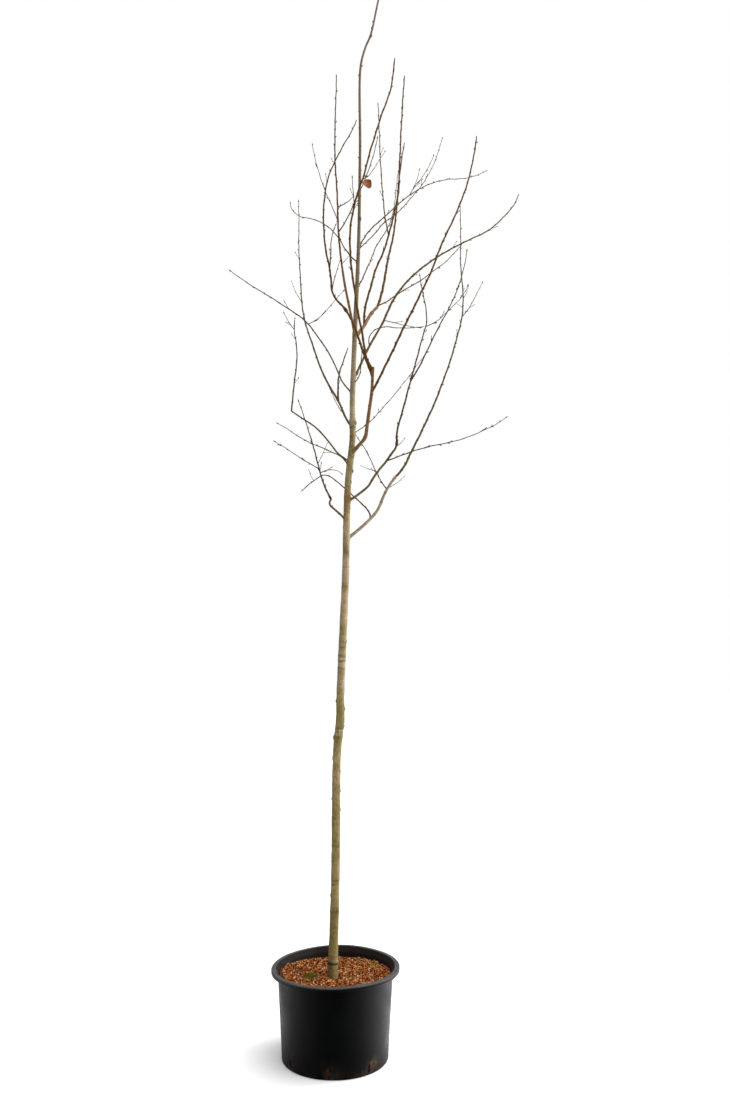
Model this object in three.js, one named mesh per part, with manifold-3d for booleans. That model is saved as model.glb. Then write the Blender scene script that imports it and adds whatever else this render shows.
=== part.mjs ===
// Young bare serviceberry, grown as a standard with a clear stem, in a round nursery pot.
// Millimetres, +Z up, +X to the right and +Y away as the tree is seen from its front.
// The origin is the centre of the pot's flat underside.
import * as THREE from 'three';
import { mergeVertices } from 'three/addons/utils/BufferGeometryUtils.js';
import Module from 'manifold-3d';

const wasm = await Module();
wasm.setup();

const GAP = 0.3;

// Pot: a tapered tub with a wide turned-out rim and drain slots round its foot.
const POT_HEIGHT = 293;
const POT_FOOT_RADIUS = 181;
const POT_SHOULDER_RADIUS = 195;
const POT_WALL = 4;
const POT_FLOOR = 5;
const POT_FOOT_ROUND = 5;
const RIM_RADIUS = 219.5;
const RIM_INNER_RADIUS = 201;
const RIM_DEPTH = 13;
const RIM_ROUND = 4;
const POT_SIDES = 64;
const SLOT_COUNT = 8;
const SLOT_WIDTH = 10;
const SLOT_DEPTH = 20;
const SLOT_LOW = 7;
const SLOT_HIGH = 36;
const SLOT_TURN = 39;

// Potting mix: fills the pot to 33 mm under the rim.
const MIX_TOP = 260;
const MIX_FLAT_RADIUS = 60;
const MIX_EDGE_FALL = 4;
const MIX_SHOULDER = 0.55;
const MIX_SHOULDER_FALL = 0.35;

// Trunk: height, sideways offset and thickness at each change of its line.
const TRUNK_STATIONS = [
  [MIX_TOP + GAP, -9, 36],
  [280, -9, 34.5],
  [330, -8, 33.5],
  [574, -2, 30],
  [956, 0, 29],
  [1040, 4, 30.5],
  [1124, 13, 33],
  [1200, 13, 29.5],
  [1431, 21, 28],
  [1643, 30, 26],
  [1990, 38, 23],
  [2157, 54, 22],
  [2313, 54, 21.5],
  [2631, 65, 17],
  [2958, 77, 13],
  [3338, 82, 11],
  [3700, 84, 9],
  [3785, 103, 8.2],
  [3840, 124, 8],
  [3999, 156, 7],
  [4120, 183, 3],
];
const TRUNK_SIDES = 12;
const TRUNK_RINGS_PER_STATION = 4;
const FLARE_LOBES = 4;
const FLARE_DEPTH = 0.08;
const FLARE_HEIGHT = 40;

// Boughs. at: height on the trunk, or distance along the parent limb. thick: at the foot and the
// tip. out: slope away from the front plane in degrees, at the foot and the tip. rises: distance
// along the limb and its slope there, seen from the front, at each change of its line.
const BOUGHS = [
  {
    name: 'low_right_bough', at: 1780, length: 355, thick: [12, 9], out: [24, 18],
    rises: [[0, 39], [150, 50], [220, 72], [355, 53]],
  },
  {
    name: 'low_left_bough', at: 1845, length: 115, thick: [8.2, 6.8], out: [-30, -22],
    rises: [[0, 125], [40, 142], [85, 142], [115, 36]],
  },
  {
    name: 'second_right_bough', at: 1920, length: 205, thick: [9.6, 8], out: [-22, -18],
    rises: [[0, 28], [90, 37], [115, 60], [205, 44]],
  },
  {
    name: 'bent_left_bough', at: 2070, length: 340, thick: [7, 5.4], out: [18, 14],
    rises: [[0, 138], [45, 141], [85, 123], [180, 129], [250, 144], [340, 142]],
  },
  {
    name: 'front_bough', at: 2100, length: 355, thick: [14, 10.5], out: [-46, -4],
    rises: [[0, 43], [80, 40], [110, 82], [240, 81], [275, 87], [355, 87]],
  },
  {
    name: 'high_left_bough', at: 2205, length: 385, thick: [9, 7.4], out: [34, 20],
    rises: [[0, 124], [90, 109], [130, 109], [210, 118], [385, 109]],
  },
  {
    name: 'long_left_bough', at: 2335, length: 295, thick: [5.6, 4.8], out: [-22, -18],
    rises: [[0, 133], [45, 134], [80, 113], [170, 120], [210, 128], [295, 128]],
  },
  {
    name: 'long_right_bough', at: 2395, length: 300, thick: [10, 8.2], out: [18, 16],
    rises: [[0, 61], [45, 69], [130, 69], [200, 64], [300, 64]],
  },
  {
    name: 'upper_right_bough', at: 2560, length: 280, thick: [14, 10], out: [44, 34],
    rises: [[0, 66], [100, 66], [140, 73], [210, 68], [280, 53]],
  },
  {
    name: 'upper_left_bough', at: 2565, length: 245, thick: [9.6, 7.8], out: [-34, -14],
    rises: [[0, 99], [50, 103], [150, 103], [245, 98]],
  },
];

// Masses of twigs: one stem each, with the long shoots that it carries.
const MASSES = [
  {
    name: 'low_right_twigs', on: 'low_right_bough', length: 1325, thick: [8.8, 3], out: [16, 3],
    rises: [[0, 46], [90, 67], [190, 64], [760, 76], [940, 94], [1130, 88], [1325, 90]],
    shoots: [
      {
        at: 800, length: 200, thick: [3.6, 2], out: [15, 10],
        rises: [[0, 52], [90, 63], [200, 65]],
      },
    ],
  },
  {
    name: 'low_right_side_twigs', on: 'low_right_bough', at: 285, length: 275, thick: [4.2, 2.4],
    out: [20, 12], rises: [[0, 126], [90, 111], [180, 115], [275, 124]],
  },
  {
    name: 'low_right_weak_twigs', on: 'low_right_bough', at: 135, length: 380, thick: [4.4, 2.6],
    out: [25, 0], rises: [[0, 86], [40, 126], [110, 135], [240, 138], [265, 162], [300, 214], [380, 222]],
  },
  {
    name: 'low_left_twigs', on: 'low_left_bough', length: 375, thick: [6.4, 2.6], out: [-18, -5],
    rises: [[0, 122], [90, 106], [190, 105], [375, 111]],
    shoots: [
      {
        at: 120, length: 185, thick: [3.2, 2], out: [-12, -8],
        rises: [[0, 154], [80, 148], [185, 149]],
      },
      {
        at: 105, length: 90, thick: [2.8, 1.9], out: [-20, -20],
        rises: [[0, 27], [45, -3], [90, -53]],
      },
    ],
  },
  {
    name: 'second_right_twigs', on: 'second_right_bough', length: 715, thick: [7.8, 2.8], out: [-15, -2],
    rises: [[0, 55], [55, 51], [100, 95], [150, 74], [440, 75], [515, 72], [565, 95], [620, 101],
      [715, 98]],
    shoots: [
      {
        at: 12, length: 460, thick: [4.4, 2.2], out: [-12, -4],
        rises: [[0, 15], [65, 20], [200, 8], [330, 21], [395, 25], [460, 40]],
      },
      {
        at: 320, length: 525, thick: [5.4, 2.6], out: [-12, 2],
        rises: [[0, 54], [90, 65], [260, 61], [400, 71], [525, 83]],
      },
      {
        at: 525, length: 235, thick: [2.8, 1.9], out: [6, 6],
        rises: [[0, 22], [75, 46], [160, 48], [235, 69]],
      },
    ],
  },
  {
    name: 'bent_left_twigs', on: 'bent_left_bough', length: 390, thick: [5.4, 3], out: [8, 0],
    rises: [[0, 86], [80, 87], [155, 82], [310, 100], [390, 83]],
    shoots: [
      {
        at: 345, length: 80, thick: [2.6, 2], out: [0, 0],
        rises: [[0, 128], [80, 114]],
      },
    ],
  },
  {
    name: 'left_slender_twigs', on: 'trunk', at: 2045, length: 320, thick: [4.4, 2.2], out: [-24, -6],
    rises: [[0, 106], [80, 161], [160, 161], [240, 147], [320, 152]],
  },
  {
    name: 'front_right_twigs', on: 'front_bough', at: 265, length: 1020, thick: [8.4, 4.4], out: [-12, 0],
    rises: [[0, 58], [90, 64], [430, 63], [510, 70], [680, 64], [1020, 84]],
  },
  {
    name: 'front_left_twigs', on: 'front_bough', at: 320, length: 1110, thick: [8.6, 3.8], out: [4, 2],
    rises: [[0, 110], [200, 107], [325, 134], [390, 93], [490, 102], [780, 84], [920, 66], [1040, 62],
      [1110, 71]],
    shoots: [
      {
        at: 465, length: 165, thick: [4.4, 2.8], out: [-12, -6],
        rises: [[0, 84], [80, 89], [165, 67]],
      },
    ],
  },
  {
    name: 'front_middle_twigs', on: 'front_bough', at: 345, length: 1190, thick: [7.6, 4.4], out: [-16, 4],
    rises: [[0, 130], [75, 98], [150, 102], [400, 96], [670, 70], [740, 76], [1040, 71], [1115, 86],
      [1190, 83]],
    shoots: [
      {
        at: 600, length: 100, thick: [3.2, 2.2], out: [-8, -4],
        rises: [[0, 94], [100, 94]],
      },
    ],
  },
  {
    name: 'right_slender_twigs', on: 'trunk', at: 2180, length: 600, thick: [3.4, 2], out: [36, 26],
    rises: [[0, 41], [170, 56], [430, 58], [515, 61], [600, 55]],
  },
  {
    name: 'high_left_twigs', on: 'high_left_bough', length: 795, thick: [7.6, 2.8], out: [16, 2],
    rises: [[0, 108], [180, 107], [350, 93], [450, 95], [620, 91], [795, 91]],
  },
  {
    name: 'high_left_fork_twigs', on: 'high_left_bough', at: 170, length: 260, thick: [6, 3.2], out: [24, 14],
    rises: [[0, 93], [85, 89], [175, 75], [260, 72]],
  },
  {
    name: 'long_left_twigs', on: 'long_left_bough', length: 350, thick: [5, 2.8], out: [-16, -8],
    rises: [[0, 134], [85, 151], [260, 150], [350, 145]],
    shoots: [
      {
        at: 12, length: 185, thick: [2.6, 1.8], out: [-2, 4],
        rises: [[0, 24], [90, 54], [185, 49]],
      },
    ],
  },
  {
    name: 'long_right_twigs', on: 'long_right_bough', length: 890, thick: [8.2, 3.6], out: [14, 6],
    rises: [[0, 71], [90, 67], [270, 47], [450, 35], [620, 28], [710, 46], [800, 50], [890, 73]],
    shoots: [
      {
        at: 12, length: 145, thick: [3, 2], out: [4, 0],
        rises: [[0, -10], [70, -15], [145, -6]],
      },
    ],
  },
  {
    name: 'upper_right_twigs', on: 'upper_right_bough', length: 855, thick: [9, 3.8], out: [20, 2],
    rises: [[0, 72], [160, 83], [310, 78], [540, 86], [770, 83], [855, 77]],
    shoots: [
      {
        at: 12, length: 530, thick: [5.2, 2.8], out: [24, 12],
        rises: [[0, 31], [75, 45], [225, 37], [300, 46], [380, 42], [455, 52], [530, 54]],
      },
    ],
  },
  {
    name: 'upper_tall_twigs', on: 'upper_right_bough', at: 125, length: 1155, thick: [8.6, 4.6], out: [8, 0],
    rises: [[0, 96], [75, 80], [145, 75], [215, 77], [290, 67], [430, 77], [580, 78], [650, 88],
      [1155, 86]],
    shoots: [
      {
        at: 420, length: 640, thick: [5, 3.2], out: [12, 2],
        rises: [[0, 101], [150, 94], [320, 93], [480, 91], [640, 93]],
      },
    ],
  },
  {
    name: 'upper_left_twigs', on: 'upper_left_bough', length: 755, thick: [7.2, 3.6], out: [-10, 0],
    rises: [[0, 98], [85, 97], [170, 91], [340, 94], [590, 88], [755, 90]],
    shoots: [
      {
        at: 145, length: 385, thick: [4.4, 2.6], out: [-10, -4],
        rises: [[0, 52], [95, 66], [190, 65], [385, 80]],
      },
      {
        at: 185, length: 320, thick: [3.2, 2], out: [-4, 0],
        rises: [[0, 110], [80, 114], [320, 99]],
      },
    ],
  },
  {
    name: 'back_twigs', on: 'trunk', at: 2755, length: 835, thick: [5, 2.3], out: [44, 8],
    rises: [[0, 75], [340, 75], [420, 65], [500, 67], [585, 79], [750, 86], [835, 82]],
  },
  {
    name: 'crown_left_twigs', on: 'trunk', at: 2865, length: 365, thick: [4.6, 2.3], out: [-16, 4],
    rises: [[0, 149], [90, 117], [275, 173], [365, 95]],
  },
  {
    name: 'crown_right_twigs', on: 'trunk', at: 2920, length: 835, thick: [5.2, 2.3], out: [22, 20],
    rises: [[0, 75], [165, 52], [330, 53], [500, 39], [670, 14], [835, 42]],
    shoots: [
      {
        at: 410, length: 240, thick: [2.8, 1.8], out: [16, 10],
        rises: [[0, 70], [80, 55], [160, 65], [240, 71]],
      },
      {
        at: 410, length: 125, thick: [2.4, 1.8], out: [6, 4],
        rises: [[0, 63], [125, 78]],
      },
    ],
  },
  {
    name: 'crown_back_twigs', on: 'trunk', at: 2895, length: 975, thick: [4.2, 2.2], out: [40, 12],
    rises: [[0, 96], [90, 61], [180, 59], [265, 69], [350, 48], [445, 58], [620, 59], [800, 70], [975, 77]],
  },
];

// Short side twigs set by a seeded rule along every stem and long shoot.
const SEED = 7;
const TWIG_SPACING = 240;
const TWIG_FIRST = 0.3;
const TWIG_LAST = 0.82;
const TWIG_LENGTH = [12, 26];
const TWIG_ANGLE = [28, 42];
const TWIG_THICK = [2.3, 1.5];
const TWIG_TURN = 144;
const TWIG_CLEAR = 4;
const TWIG_SWEEP = 6;
const TWIG_SPREAD = [0.7, 1.3];
const TWIG_CORNER = 0.65;

// Sections and steps of the swept limbs.
const BOUGH_SIDES = 8;
const STEM_SIDES = 6;
const SHOOT_SIDES = 4;
const TWIG_SIDES = 3;
const BOUGH_STEP = 24;
const STEM_STEP = 62;
const FINE_STEPS = 8;
const COLLAR_SWELL = 0.35;
const COLLAR_LENGTH = 14;

const MATERIALS = {
  pot: { color: 0x1b1c1f, roughness: 0.45, metalness: 0 },
  mix: { color: 0x7d4a33, roughness: 0.95, metalness: 0 },
  trunk: { color: 0x8a8468, roughness: 0.8, metalness: 0 },
  bough: { color: 0x6e5342, roughness: 0.7, metalness: 0 },
  twigs: { color: 0x564038, roughness: 0.7, metalness: 0 },
};

const radians = THREE.MathUtils.degToRad;
const mix = THREE.MathUtils.lerp;

function seeded(seed) {
  let state = seed >>> 0;
  return () => {
    state = (Math.imul(state, 1664525) + 1013904223) >>> 0;
    return state / 4294967296;
  };
}

// Value of an evenly spaced list at a share of its length.
function sampled(list, share) {
  const place = share * (list.length - 1);
  const low = Math.min(Math.floor(place), list.length - 2);
  return mix(list[low], list[low + 1], place - low);
}

// Slope of a limb at a distance along it, read between the changes of its line.
function slopeAt(rises, distance) {
  let next = 1;
  while (next + 1 < rises.length && rises[next][0] < distance) {
    next += 1;
  }
  const [from, before] = rises[next - 1];
  const [to, after] = rises[next];
  return mix(before, after, (distance - from) / (to - from));
}

// Closed tube through a row of points, with its own radius at each.
function sweep(path, sides, shape = () => 1) {
  const positions = [];
  const index = [];
  const side = new THREE.Vector3();
  const across = new THREE.Vector3();
  const along = new THREE.Vector3();
  const count = path.length;
  side.set(0, 1, 0);
  for (let ring = 0; ring < count; ring += 1) {
    const before = path[Math.max(ring - 1, 0)].point;
    const after = path[Math.min(ring + 1, count - 1)].point;
    along.subVectors(after, before).normalize();
    side.addScaledVector(along, -side.dot(along)).normalize();
    across.crossVectors(along, side);
    for (let k = 0; k < sides; k += 1) {
      const angle = (k / sides) * Math.PI * 2;
      const radius = path[ring].radius * shape(path[ring], angle);
      const corner = path[ring].point.clone();
      corner.addScaledVector(side, Math.cos(angle) * radius);
      corner.addScaledVector(across, Math.sin(angle) * radius);
      positions.push(corner.x, corner.y, corner.z);
    }
  }
  for (let ring = 0; ring + 1 < count; ring += 1) {
    for (let k = 0; k < sides; k += 1) {
      const a = ring * sides + k;
      const b = ring * sides + ((k + 1) % sides);
      index.push(a, b, a + sides, b, b + sides, a + sides);
    }
  }
  const last = (count - 1) * sides;
  for (let k = 1; k + 1 < sides; k += 1) {
    index.push(0, k + 1, k);
    index.push(last, last + k, last + k + 1);
  }
  const geometry = new THREE.BufferGeometry();
  geometry.setAttribute('position', new THREE.Float32BufferAttribute(positions, 3));
  geometry.setIndex(index);
  return geometry;
}

function toSolid(source) {
  const bare = source.clone();
  bare.deleteAttribute('normal');
  bare.deleteAttribute('uv');
  const merged = mergeVertices(bare, 1e-4);
  const faces = [];
  const order = merged.index.array;
  for (let i = 0; i < order.length; i += 3) {
    const [a, b, c] = [order[i], order[i + 1], order[i + 2]];
    if (a !== b && b !== c && c !== a) {
      faces.push(a, b, c);
    }
  }
  return new wasm.Manifold(new wasm.Mesh({
    numProp: 3,
    vertProperties: Float32Array.from(merged.attributes.position.array),
    triVerts: Uint32Array.from(faces),
  }));
}

function toGeometry(solid) {
  const mesh = solid.getMesh();
  const geometry = new THREE.BufferGeometry();
  geometry.setAttribute('position', new THREE.BufferAttribute(mesh.vertProperties, 3));
  geometry.setIndex(new THREE.BufferAttribute(mesh.triVerts, 1));
  geometry.computeVertexNormals();
  return geometry;
}

function largestPiece(solid) {
  const pieces = solid.decompose();
  return pieces.reduce((best, piece) => (piece.volume() > best.volume() ? piece : best));
}

// Centre line of a limb: its slope is read from rises and out at every step.
function limbPath(start, limb, step, collar) {
  const rings = Math.max(Math.ceil(limb.length / step), 2);
  const path = [];
  const point = start.clone();
  const stride = limb.length / (rings * FINE_STEPS);
  for (let ring = 0; ring <= rings; ring += 1) {
    const share = ring / rings;
    const distance = share * limb.length;
    const swell = 1 + collar * Math.exp(-distance / COLLAR_LENGTH);
    const radius = (mix(limb.thick[0], limb.thick[1], share) / 2) * swell;
    path.push({ point: point.clone(), radius, distance });
    for (let k = 0; k < FINE_STEPS; k += 1) {
      const here = Math.min(share + (k + 0.5) / (rings * FINE_STEPS), 1);
      const rise = radians(slopeAt(limb.rises, here * limb.length));
      const out = radians(mix(limb.out[0], limb.out[1], here));
      point.x += Math.cos(out) * Math.cos(rise) * stride;
      point.y += Math.sin(out) * stride;
      point.z += Math.cos(out) * Math.sin(rise) * stride;
    }
  }
  return path;
}

// Place and heading at a distance along a path.
function placeOn(path, distance) {
  let ring = 0;
  while (ring + 2 < path.length && path[ring + 1].distance < distance) {
    ring += 1;
  }
  const from = path[ring];
  const to = path[ring + 1];
  const share = (distance - from.distance) / (to.distance - from.distance);
  return {
    point: from.point.clone().lerp(to.point, share),
    along: to.point.clone().sub(from.point).normalize(),
  };
}

// The parent limb grown by the clearance, with its ends moved out as far.
function grownBy(path, sides, gap) {
  const grown = path.map((ring) => ({ ...ring, point: ring.point.clone(), radius: ring.radius + gap }));
  const ends = [[0, 1], [path.length - 1, path.length - 2]];
  for (const [end, inner] of ends) {
    const outward = path[end].point.clone().sub(path[inner].point).normalize();
    grown[end].point.addScaledVector(outward, gap);
  }
  return toSolid(sweep(grown, sides));
}

function trunkPath() {
  const axis = TRUNK_STATIONS.map(([height, offset]) => new THREE.Vector3(offset, 0, height));
  const curve = new THREE.CatmullRomCurve3(axis, false, 'centripetal');
  const rings = (TRUNK_STATIONS.length - 1) * TRUNK_RINGS_PER_STATION;
  const path = [];
  for (let ring = 0; ring <= rings; ring += 1) {
    const share = ring / rings;
    const thickness = sampled(TRUNK_STATIONS.map((station) => station[2]), share);
    const point = curve.getPoint(share);
    path.push({ point, radius: thickness / 2, distance: point.z });
  }
  return path;
}

function flareShape(ring, angle) {
  const above = Math.max(ring.distance - MIX_TOP, 0);
  return 1 + FLARE_DEPTH * Math.exp(-above / FLARE_HEIGHT) * Math.cos(FLARE_LOBES * angle);
}

function latheSolid(profile) {
  const outline = profile.map(([radius, height]) => new THREE.Vector2(radius, height));
  const geometry = new THREE.LatheGeometry([...outline, outline[0].clone()], POT_SIDES);
  geometry.rotateX(Math.PI / 2);
  return toSolid(geometry);
}

function potSolid() {
  const shoulder = POT_HEIGHT - RIM_DEPTH;
  const insideShoulder = POT_SHOULDER_RADIUS - POT_WALL;
  const insideFoot = POT_FOOT_RADIUS - POT_WALL;
  let pot = latheSolid([
    [0, 0],
    [POT_FOOT_RADIUS - POT_FOOT_ROUND, 0],
    [POT_FOOT_RADIUS, POT_FOOT_ROUND],
    [POT_SHOULDER_RADIUS, shoulder - RIM_ROUND],
    [POT_SHOULDER_RADIUS + RIM_ROUND, shoulder],
    [RIM_RADIUS - RIM_ROUND / 2, shoulder],
    [RIM_RADIUS, shoulder + RIM_ROUND],
    [RIM_RADIUS, POT_HEIGHT - RIM_ROUND],
    [RIM_RADIUS - RIM_ROUND, POT_HEIGHT],
    [RIM_INNER_RADIUS, POT_HEIGHT],
    [insideShoulder + RIM_ROUND, POT_HEIGHT - RIM_ROUND],
    [insideShoulder, shoulder - RIM_ROUND],
    [insideFoot, POT_FLOOR],
    [0, POT_FLOOR],
  ]);
  for (let k = 0; k < SLOT_COUNT; k += 1) {
    const turn = radians(SLOT_TURN + (k * 360) / SLOT_COUNT);
    const slot = new THREE.BoxGeometry(SLOT_DEPTH, SLOT_WIDTH, SLOT_HIGH - SLOT_LOW);
    slot.translate(POT_FOOT_RADIUS - POT_WALL / 2, 0, (SLOT_HIGH + SLOT_LOW) / 2);
    slot.rotateZ(turn);
    pot = pot.subtract(toSolid(slot));
  }
  return pot;
}

function mixSolid() {
  const low = POT_FLOOR + GAP;
  const wallSlope = (POT_SHOULDER_RADIUS - POT_FOOT_RADIUS) / (POT_HEIGHT - RIM_DEPTH);
  const inside = (height) => POT_FOOT_RADIUS - POT_WALL - GAP * 2 + (height - POT_FLOOR) * wallSlope;
  const edge = MIX_TOP - MIX_EDGE_FALL;
  return latheSolid([
    [0, low],
    [inside(low), low],
    [inside(edge), edge],
    [mix(MIX_FLAT_RADIUS, inside(edge), MIX_SHOULDER), MIX_TOP - MIX_EDGE_FALL * MIX_SHOULDER_FALL],
    [MIX_FLAT_RADIUS, MIX_TOP],
    [0, MIX_TOP],
  ]);
}

// Every listed limb is laid out first, so that the seeded twigs can keep clear of all of them.
const limbs = new Map();
limbs.set('trunk', { path: trunkPath(), sides: TRUNK_SIDES });

function startOn(parent, at) {
  if (at === undefined) {
    return parent.path[parent.path.length - 1].point.clone();
  }
  return placeOn(parent.path, at).point;
}

for (const bough of BOUGHS) {
  const start = startOn(limbs.get('trunk'), bough.at);
  limbs.set(bough.name, {
    path: limbPath(start, bough, BOUGH_STEP, COLLAR_SWELL),
    sides: BOUGH_SIDES,
    on: 'trunk',
  });
}

for (const mass of MASSES) {
  const parent = limbs.get(mass.on);
  const atTip = mass.at === undefined;
  const stem = limbPath(startOn(parent, mass.at), mass, STEM_STEP, atTip ? 0 : COLLAR_SWELL);
  const shoots = (mass.shoots ?? []).map((shoot) => {
    const from = placeOn(stem, shoot.at).point;
    return limbPath(from, shoot, STEM_STEP, COLLAR_SWELL);
  });
  limbs.set(mass.name, { path: stem, sides: STEM_SIDES, on: mass.on, shoots, twigs: [] });
}

function allPaths(limb) {
  return [limb.path, ...(limb.shoots ?? []), ...(limb.twigs ?? [])];
}

// Least distance from a point to a path, less the path's radius.
function clearance(point, path) {
  const line = new THREE.Line3();
  const near = new THREE.Vector3();
  let least = Infinity;
  for (let ring = 0; ring + 1 < path.length; ring += 1) {
    line.set(path[ring].point, path[ring + 1].point);
    line.closestPointToPoint(point, true, near);
    least = Math.min(least, near.distanceTo(point) - path[ring].radius);
  }
  return least;
}

function standsClear(twig, own, bearer) {
  for (const [name, limb] of limbs) {
    for (const path of allPaths(limb)) {
      const skip = path === bearer;
      const tested = name === own ? twig.slice(1) : twig;
      if (!skip && tested.some((ring) => clearance(ring.point, path) < TWIG_CLEAR)) {
        return false;
      }
    }
  }
  return true;
}

// Alternate side twigs, each turned on from the last, set along one bearing shoot.
function growTwigs(name, bearer, random) {
  const total = bearer[bearer.length - 1].distance;
  const limb = limbs.get(name);
  let turn = random() * 360;
  let place = total * TWIG_FIRST;
  while (place < total * TWIG_LAST) {
    const { point, along } = placeOn(bearer, place);
    const side = new THREE.Vector3(0, 1, 0).cross(along).normalize();
    side.applyAxisAngle(along, radians(turn));
    const angle = radians(mix(TWIG_ANGLE[0], TWIG_ANGLE[1], random()));
    const length = mix(TWIG_LENGTH[0], TWIG_LENGTH[1], random());
    const heading = along.clone().multiplyScalar(Math.cos(angle));
    heading.addScaledVector(side, Math.sin(angle));
    const twig = [0, 0.5, 1].map((share) => ({
      point: point.clone()
        .addScaledVector(heading, share * length)
        .addScaledVector(along, share * share * TWIG_SWEEP),
      radius: mix(TWIG_THICK[0], TWIG_THICK[1], share) * TWIG_CORNER,
      distance: share * length,
    }));
    if (standsClear(twig, name, bearer)) {
      limb.twigs.push(twig);
    }
    turn += TWIG_TURN;
    place += TWIG_SPACING * mix(TWIG_SPREAD[0], TWIG_SPREAD[1], random());
  }
}

const random = seeded(SEED);
for (const mass of MASSES) {
  const limb = limbs.get(mass.name);
  for (const bearer of [limb.path, ...limb.shoots]) {
    growTwigs(mass.name, bearer, random);
  }
}

const group = new THREE.Group();
group.name = 'serviceberry_in_pot';

function addNode(name, solid, look) {
  const material = new THREE.MeshStandardMaterial(MATERIALS[look]);
  const mesh = new THREE.Mesh(toGeometry(solid), material);
  mesh.name = name;
  group.add(mesh);
}

addNode('pot', potSolid(), 'pot');
addNode('potting_mix', mixSolid(), 'mix');
addNode('trunk', toSolid(sweep(limbs.get('trunk').path, TRUNK_SIDES, flareShape)), 'trunk');

for (const [name, limb] of limbs) {
  if (name !== 'trunk') {
    const parent = limbs.get(limb.on);
    let solid = toSolid(sweep(limb.path, limb.sides));
    for (const shoot of limb.shoots ?? []) {
      solid = solid.add(toSolid(sweep(shoot, SHOOT_SIDES)));
    }
    for (const twig of limb.twigs ?? []) {
      solid = solid.add(toSolid(sweep(twig, TWIG_SIDES)));
    }
    const seat = grownBy(parent.path, parent.sides, GAP);
    addNode(name, largestPiece(solid.subtract(seat)), limb.twigs ? 'twigs' : 'bough');
  }
}

export default group;
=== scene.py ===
"""Young bare serviceberry in a nursery pot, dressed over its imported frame.

Limbs are worked out in millimetres by the same rule as the solids, and pieces are made in metres.
"""

import math
from functools import lru_cache
from typing import NamedTuple

import bmesh
import bpy
import numpy as np
from bpy.props import FloatProperty, FloatVectorProperty, IntProperty, PointerProperty
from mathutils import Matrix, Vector


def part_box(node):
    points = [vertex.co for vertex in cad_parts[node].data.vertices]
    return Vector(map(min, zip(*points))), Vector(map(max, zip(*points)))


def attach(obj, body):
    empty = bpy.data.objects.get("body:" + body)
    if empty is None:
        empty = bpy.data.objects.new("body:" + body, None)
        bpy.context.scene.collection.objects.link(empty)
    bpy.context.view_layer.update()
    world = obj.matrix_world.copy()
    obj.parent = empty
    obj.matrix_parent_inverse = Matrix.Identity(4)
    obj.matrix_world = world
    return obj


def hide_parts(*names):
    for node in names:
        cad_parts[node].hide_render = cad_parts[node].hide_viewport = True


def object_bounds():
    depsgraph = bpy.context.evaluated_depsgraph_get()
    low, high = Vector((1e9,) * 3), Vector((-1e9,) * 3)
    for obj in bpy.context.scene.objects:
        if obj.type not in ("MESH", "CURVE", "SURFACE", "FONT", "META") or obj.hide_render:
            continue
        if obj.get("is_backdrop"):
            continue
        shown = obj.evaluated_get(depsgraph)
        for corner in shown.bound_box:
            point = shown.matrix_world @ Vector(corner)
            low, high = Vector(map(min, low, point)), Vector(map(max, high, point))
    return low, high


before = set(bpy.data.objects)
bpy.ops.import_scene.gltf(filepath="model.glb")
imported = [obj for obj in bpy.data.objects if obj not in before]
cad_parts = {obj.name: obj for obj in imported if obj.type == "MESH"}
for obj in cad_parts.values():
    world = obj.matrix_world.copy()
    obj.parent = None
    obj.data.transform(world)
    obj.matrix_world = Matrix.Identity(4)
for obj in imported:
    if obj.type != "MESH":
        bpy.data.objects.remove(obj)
CAD_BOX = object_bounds()
POT_LOW, POT_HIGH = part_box("pot")
MIX_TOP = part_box("potting_mix")[1].z

bl_info = {
    "name": "Potted Serviceberry",
    "version": (1, 0, 0),
    "blender": (4, 5, 0),
    "location": "View3D > Sidebar > Serviceberry",
    "description": "Builds a young bare serviceberry in its nursery pot",
    "category": "Add Mesh",
}

MM = 0.001

# Trunk: height, sideways offset and thickness at each change of its line.
TRUNK_STATIONS = (
    (260.3, -9, 36), (280, -9, 34.5), (330, -8, 33.5), (574, -2, 30), (956, 0, 29),
    (1040, 4, 30.5), (1124, 13, 33), (1200, 13, 29.5), (1431, 21, 28), (1643, 30, 26),
    (1990, 38, 23), (2157, 54, 22), (2313, 54, 21.5), (2631, 65, 17), (2958, 77, 13),
    (3338, 82, 11), (3700, 84, 9), (3785, 103, 8.2), (3840, 124, 8), (3999, 156, 7),
    (4120, 183, 3),
)
TRUNK_RINGS_PER_STATION = 4


class Limb(NamedTuple):
    """One limb: where it leaves its parent, and how its slope changes along it.

    Out is its slope in degrees away from the front plane, at its foot and at its tip. Rises holds
    pairs of a distance along the limb and its slope in degrees there, seen from the front.
    """

    on: str
    at: float
    length: float
    thick: tuple
    out: tuple
    rises: tuple
    shoots: tuple = ()


# A limb that goes on from the end of its parent.
TIP = None

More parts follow.
